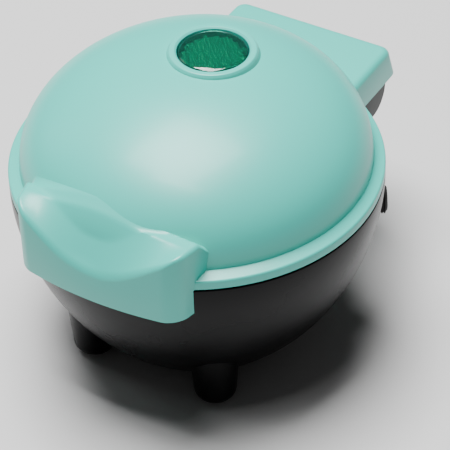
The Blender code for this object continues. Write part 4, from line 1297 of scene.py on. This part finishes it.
@dataclass(frozen=True)
class Studio:
    """Pale floor, soft lights and the camera."""

    azimuth: float = math.radians(31.73)
    elevation: float = math.radians(40.42)
    roll: float = math.radians(-1.89)
    distance: float = 0.8064
    target: tuple[float, float, float] = (0.00845, 0.00404, -0.0282)
    lens_mm: float = 176.0

    def camera(self) -> None:
        """Places the camera."""
        a, e, r = self.azimuth, self.elevation, self.roll
        back = Vector((math.sin(a) * math.cos(e), -math.cos(a) * math.cos(e), math.sin(e)))
        right = Vector((math.cos(a), math.sin(a), 0))
        up = back.cross(right)
        across = right * math.cos(r) + up * math.sin(r)
        above = up * math.cos(r) - right * math.sin(r)
        data = bpy.data.cameras.new("camera")
        data.lens = self.lens_mm
        data.sensor_width = 36
        data.clip_start = 0.01
        made = bpy.data.objects.new("camera", data)
        bpy.context.scene.collection.objects.link(made)
        place = ORIGIN + Vector(self.target) + back * self.distance
        turn = Matrix((across, above, back)).transposed().to_4x4()
        made.matrix_world = Matrix.Translation(place) @ turn
        bpy.context.scene.camera = made

    def light(self, name: str, place: Sequence[float], size: Sequence[float], watts: float) -> None:
        """One soft box that faces the object."""
        data = bpy.data.lights.new(name, "AREA")
        data.shape = "RECTANGLE"
        data.size, data.size_y = size
        data.energy = watts
        made = bpy.data.objects.new(name, data)
        made.location = place
        aim = Vector((0, 0, 0.06)) - Vector(place)
        made.rotation_mode = "QUATERNION"
        made.rotation_quaternion = aim.to_track_quat("-Z", "Y")
        bpy.context.scene.collection.objects.link(made)

    def floor(self) -> None:
        """The pale floor, which isn't part of the object."""
        shape = bmesh.new()
        bmesh.ops.create_grid(shape, x_segments=1, y_segments=1, size=3)
        made = loose_object(shape, "floor")
        made.data.transform(Matrix.Translation((0, 0, -0.0002)))
        surface = bpy.data.materials.new("pale_floor")
        surface.use_nodes = True
        shader = surface.node_tree.nodes["Principled BSDF"]
        shader.inputs["Base Color"].default_value = linear("#D2D2D2")
        shader.inputs["Roughness"].default_value = 0.9
        shader.inputs["Specular IOR Level"].default_value = 0.0
        made.data.materials.append(surface)

    def build(self) -> None:
        """Sets up world, floor, lights and camera."""
        world = bpy.data.worlds.new("studio")
        world.use_nodes = True
        sky = world.node_tree.nodes["Background"]
        sky.inputs["Color"].default_value = linear("#FFFFFF")
        sky.inputs["Strength"].default_value = 0.06
        bpy.context.scene.world = world
        self.floor()
        self.light("overhead", (-0.20, 0.05, 1.30), (0.7, 0.7), 42)
        self.light("strip", (-0.03, -0.31, 1.15), (0.45, 0.04), 3)
        self.light("left", (-1.2, 0.0, 0.7), (0.4, 0.8), 1.2)
        self.camera()


# ---------------------------------------------------------------- all together

def main() -> None:
    logging.basicConfig(level=logging.INFO, format="%(name)s: %(message)s")
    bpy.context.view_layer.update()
    finishes = Finishes()
    phenolic = finishes.phenolic.material()
    rubber = finishes.rubber.material()
    zinc = finishes.zinc.material()
    LidShell().build(finishes.mint.material())
    Indicator().build(finishes.crown.material(), finishes.prisms.material())
    shell = BaseShell()
    shell.build(finishes.black.material(), finishes.cheek.material())
    Underside(shell).build(rubber, phenolic)
    plates = CookingPlates()
    plates.build(finishes.nonstick.material(), phenolic)
    Screws().build(plates, shell, zinc)
    dress_inner_nodes(finishes, zinc)
    Studio().build()


if __name__ == "__main__":
    main()
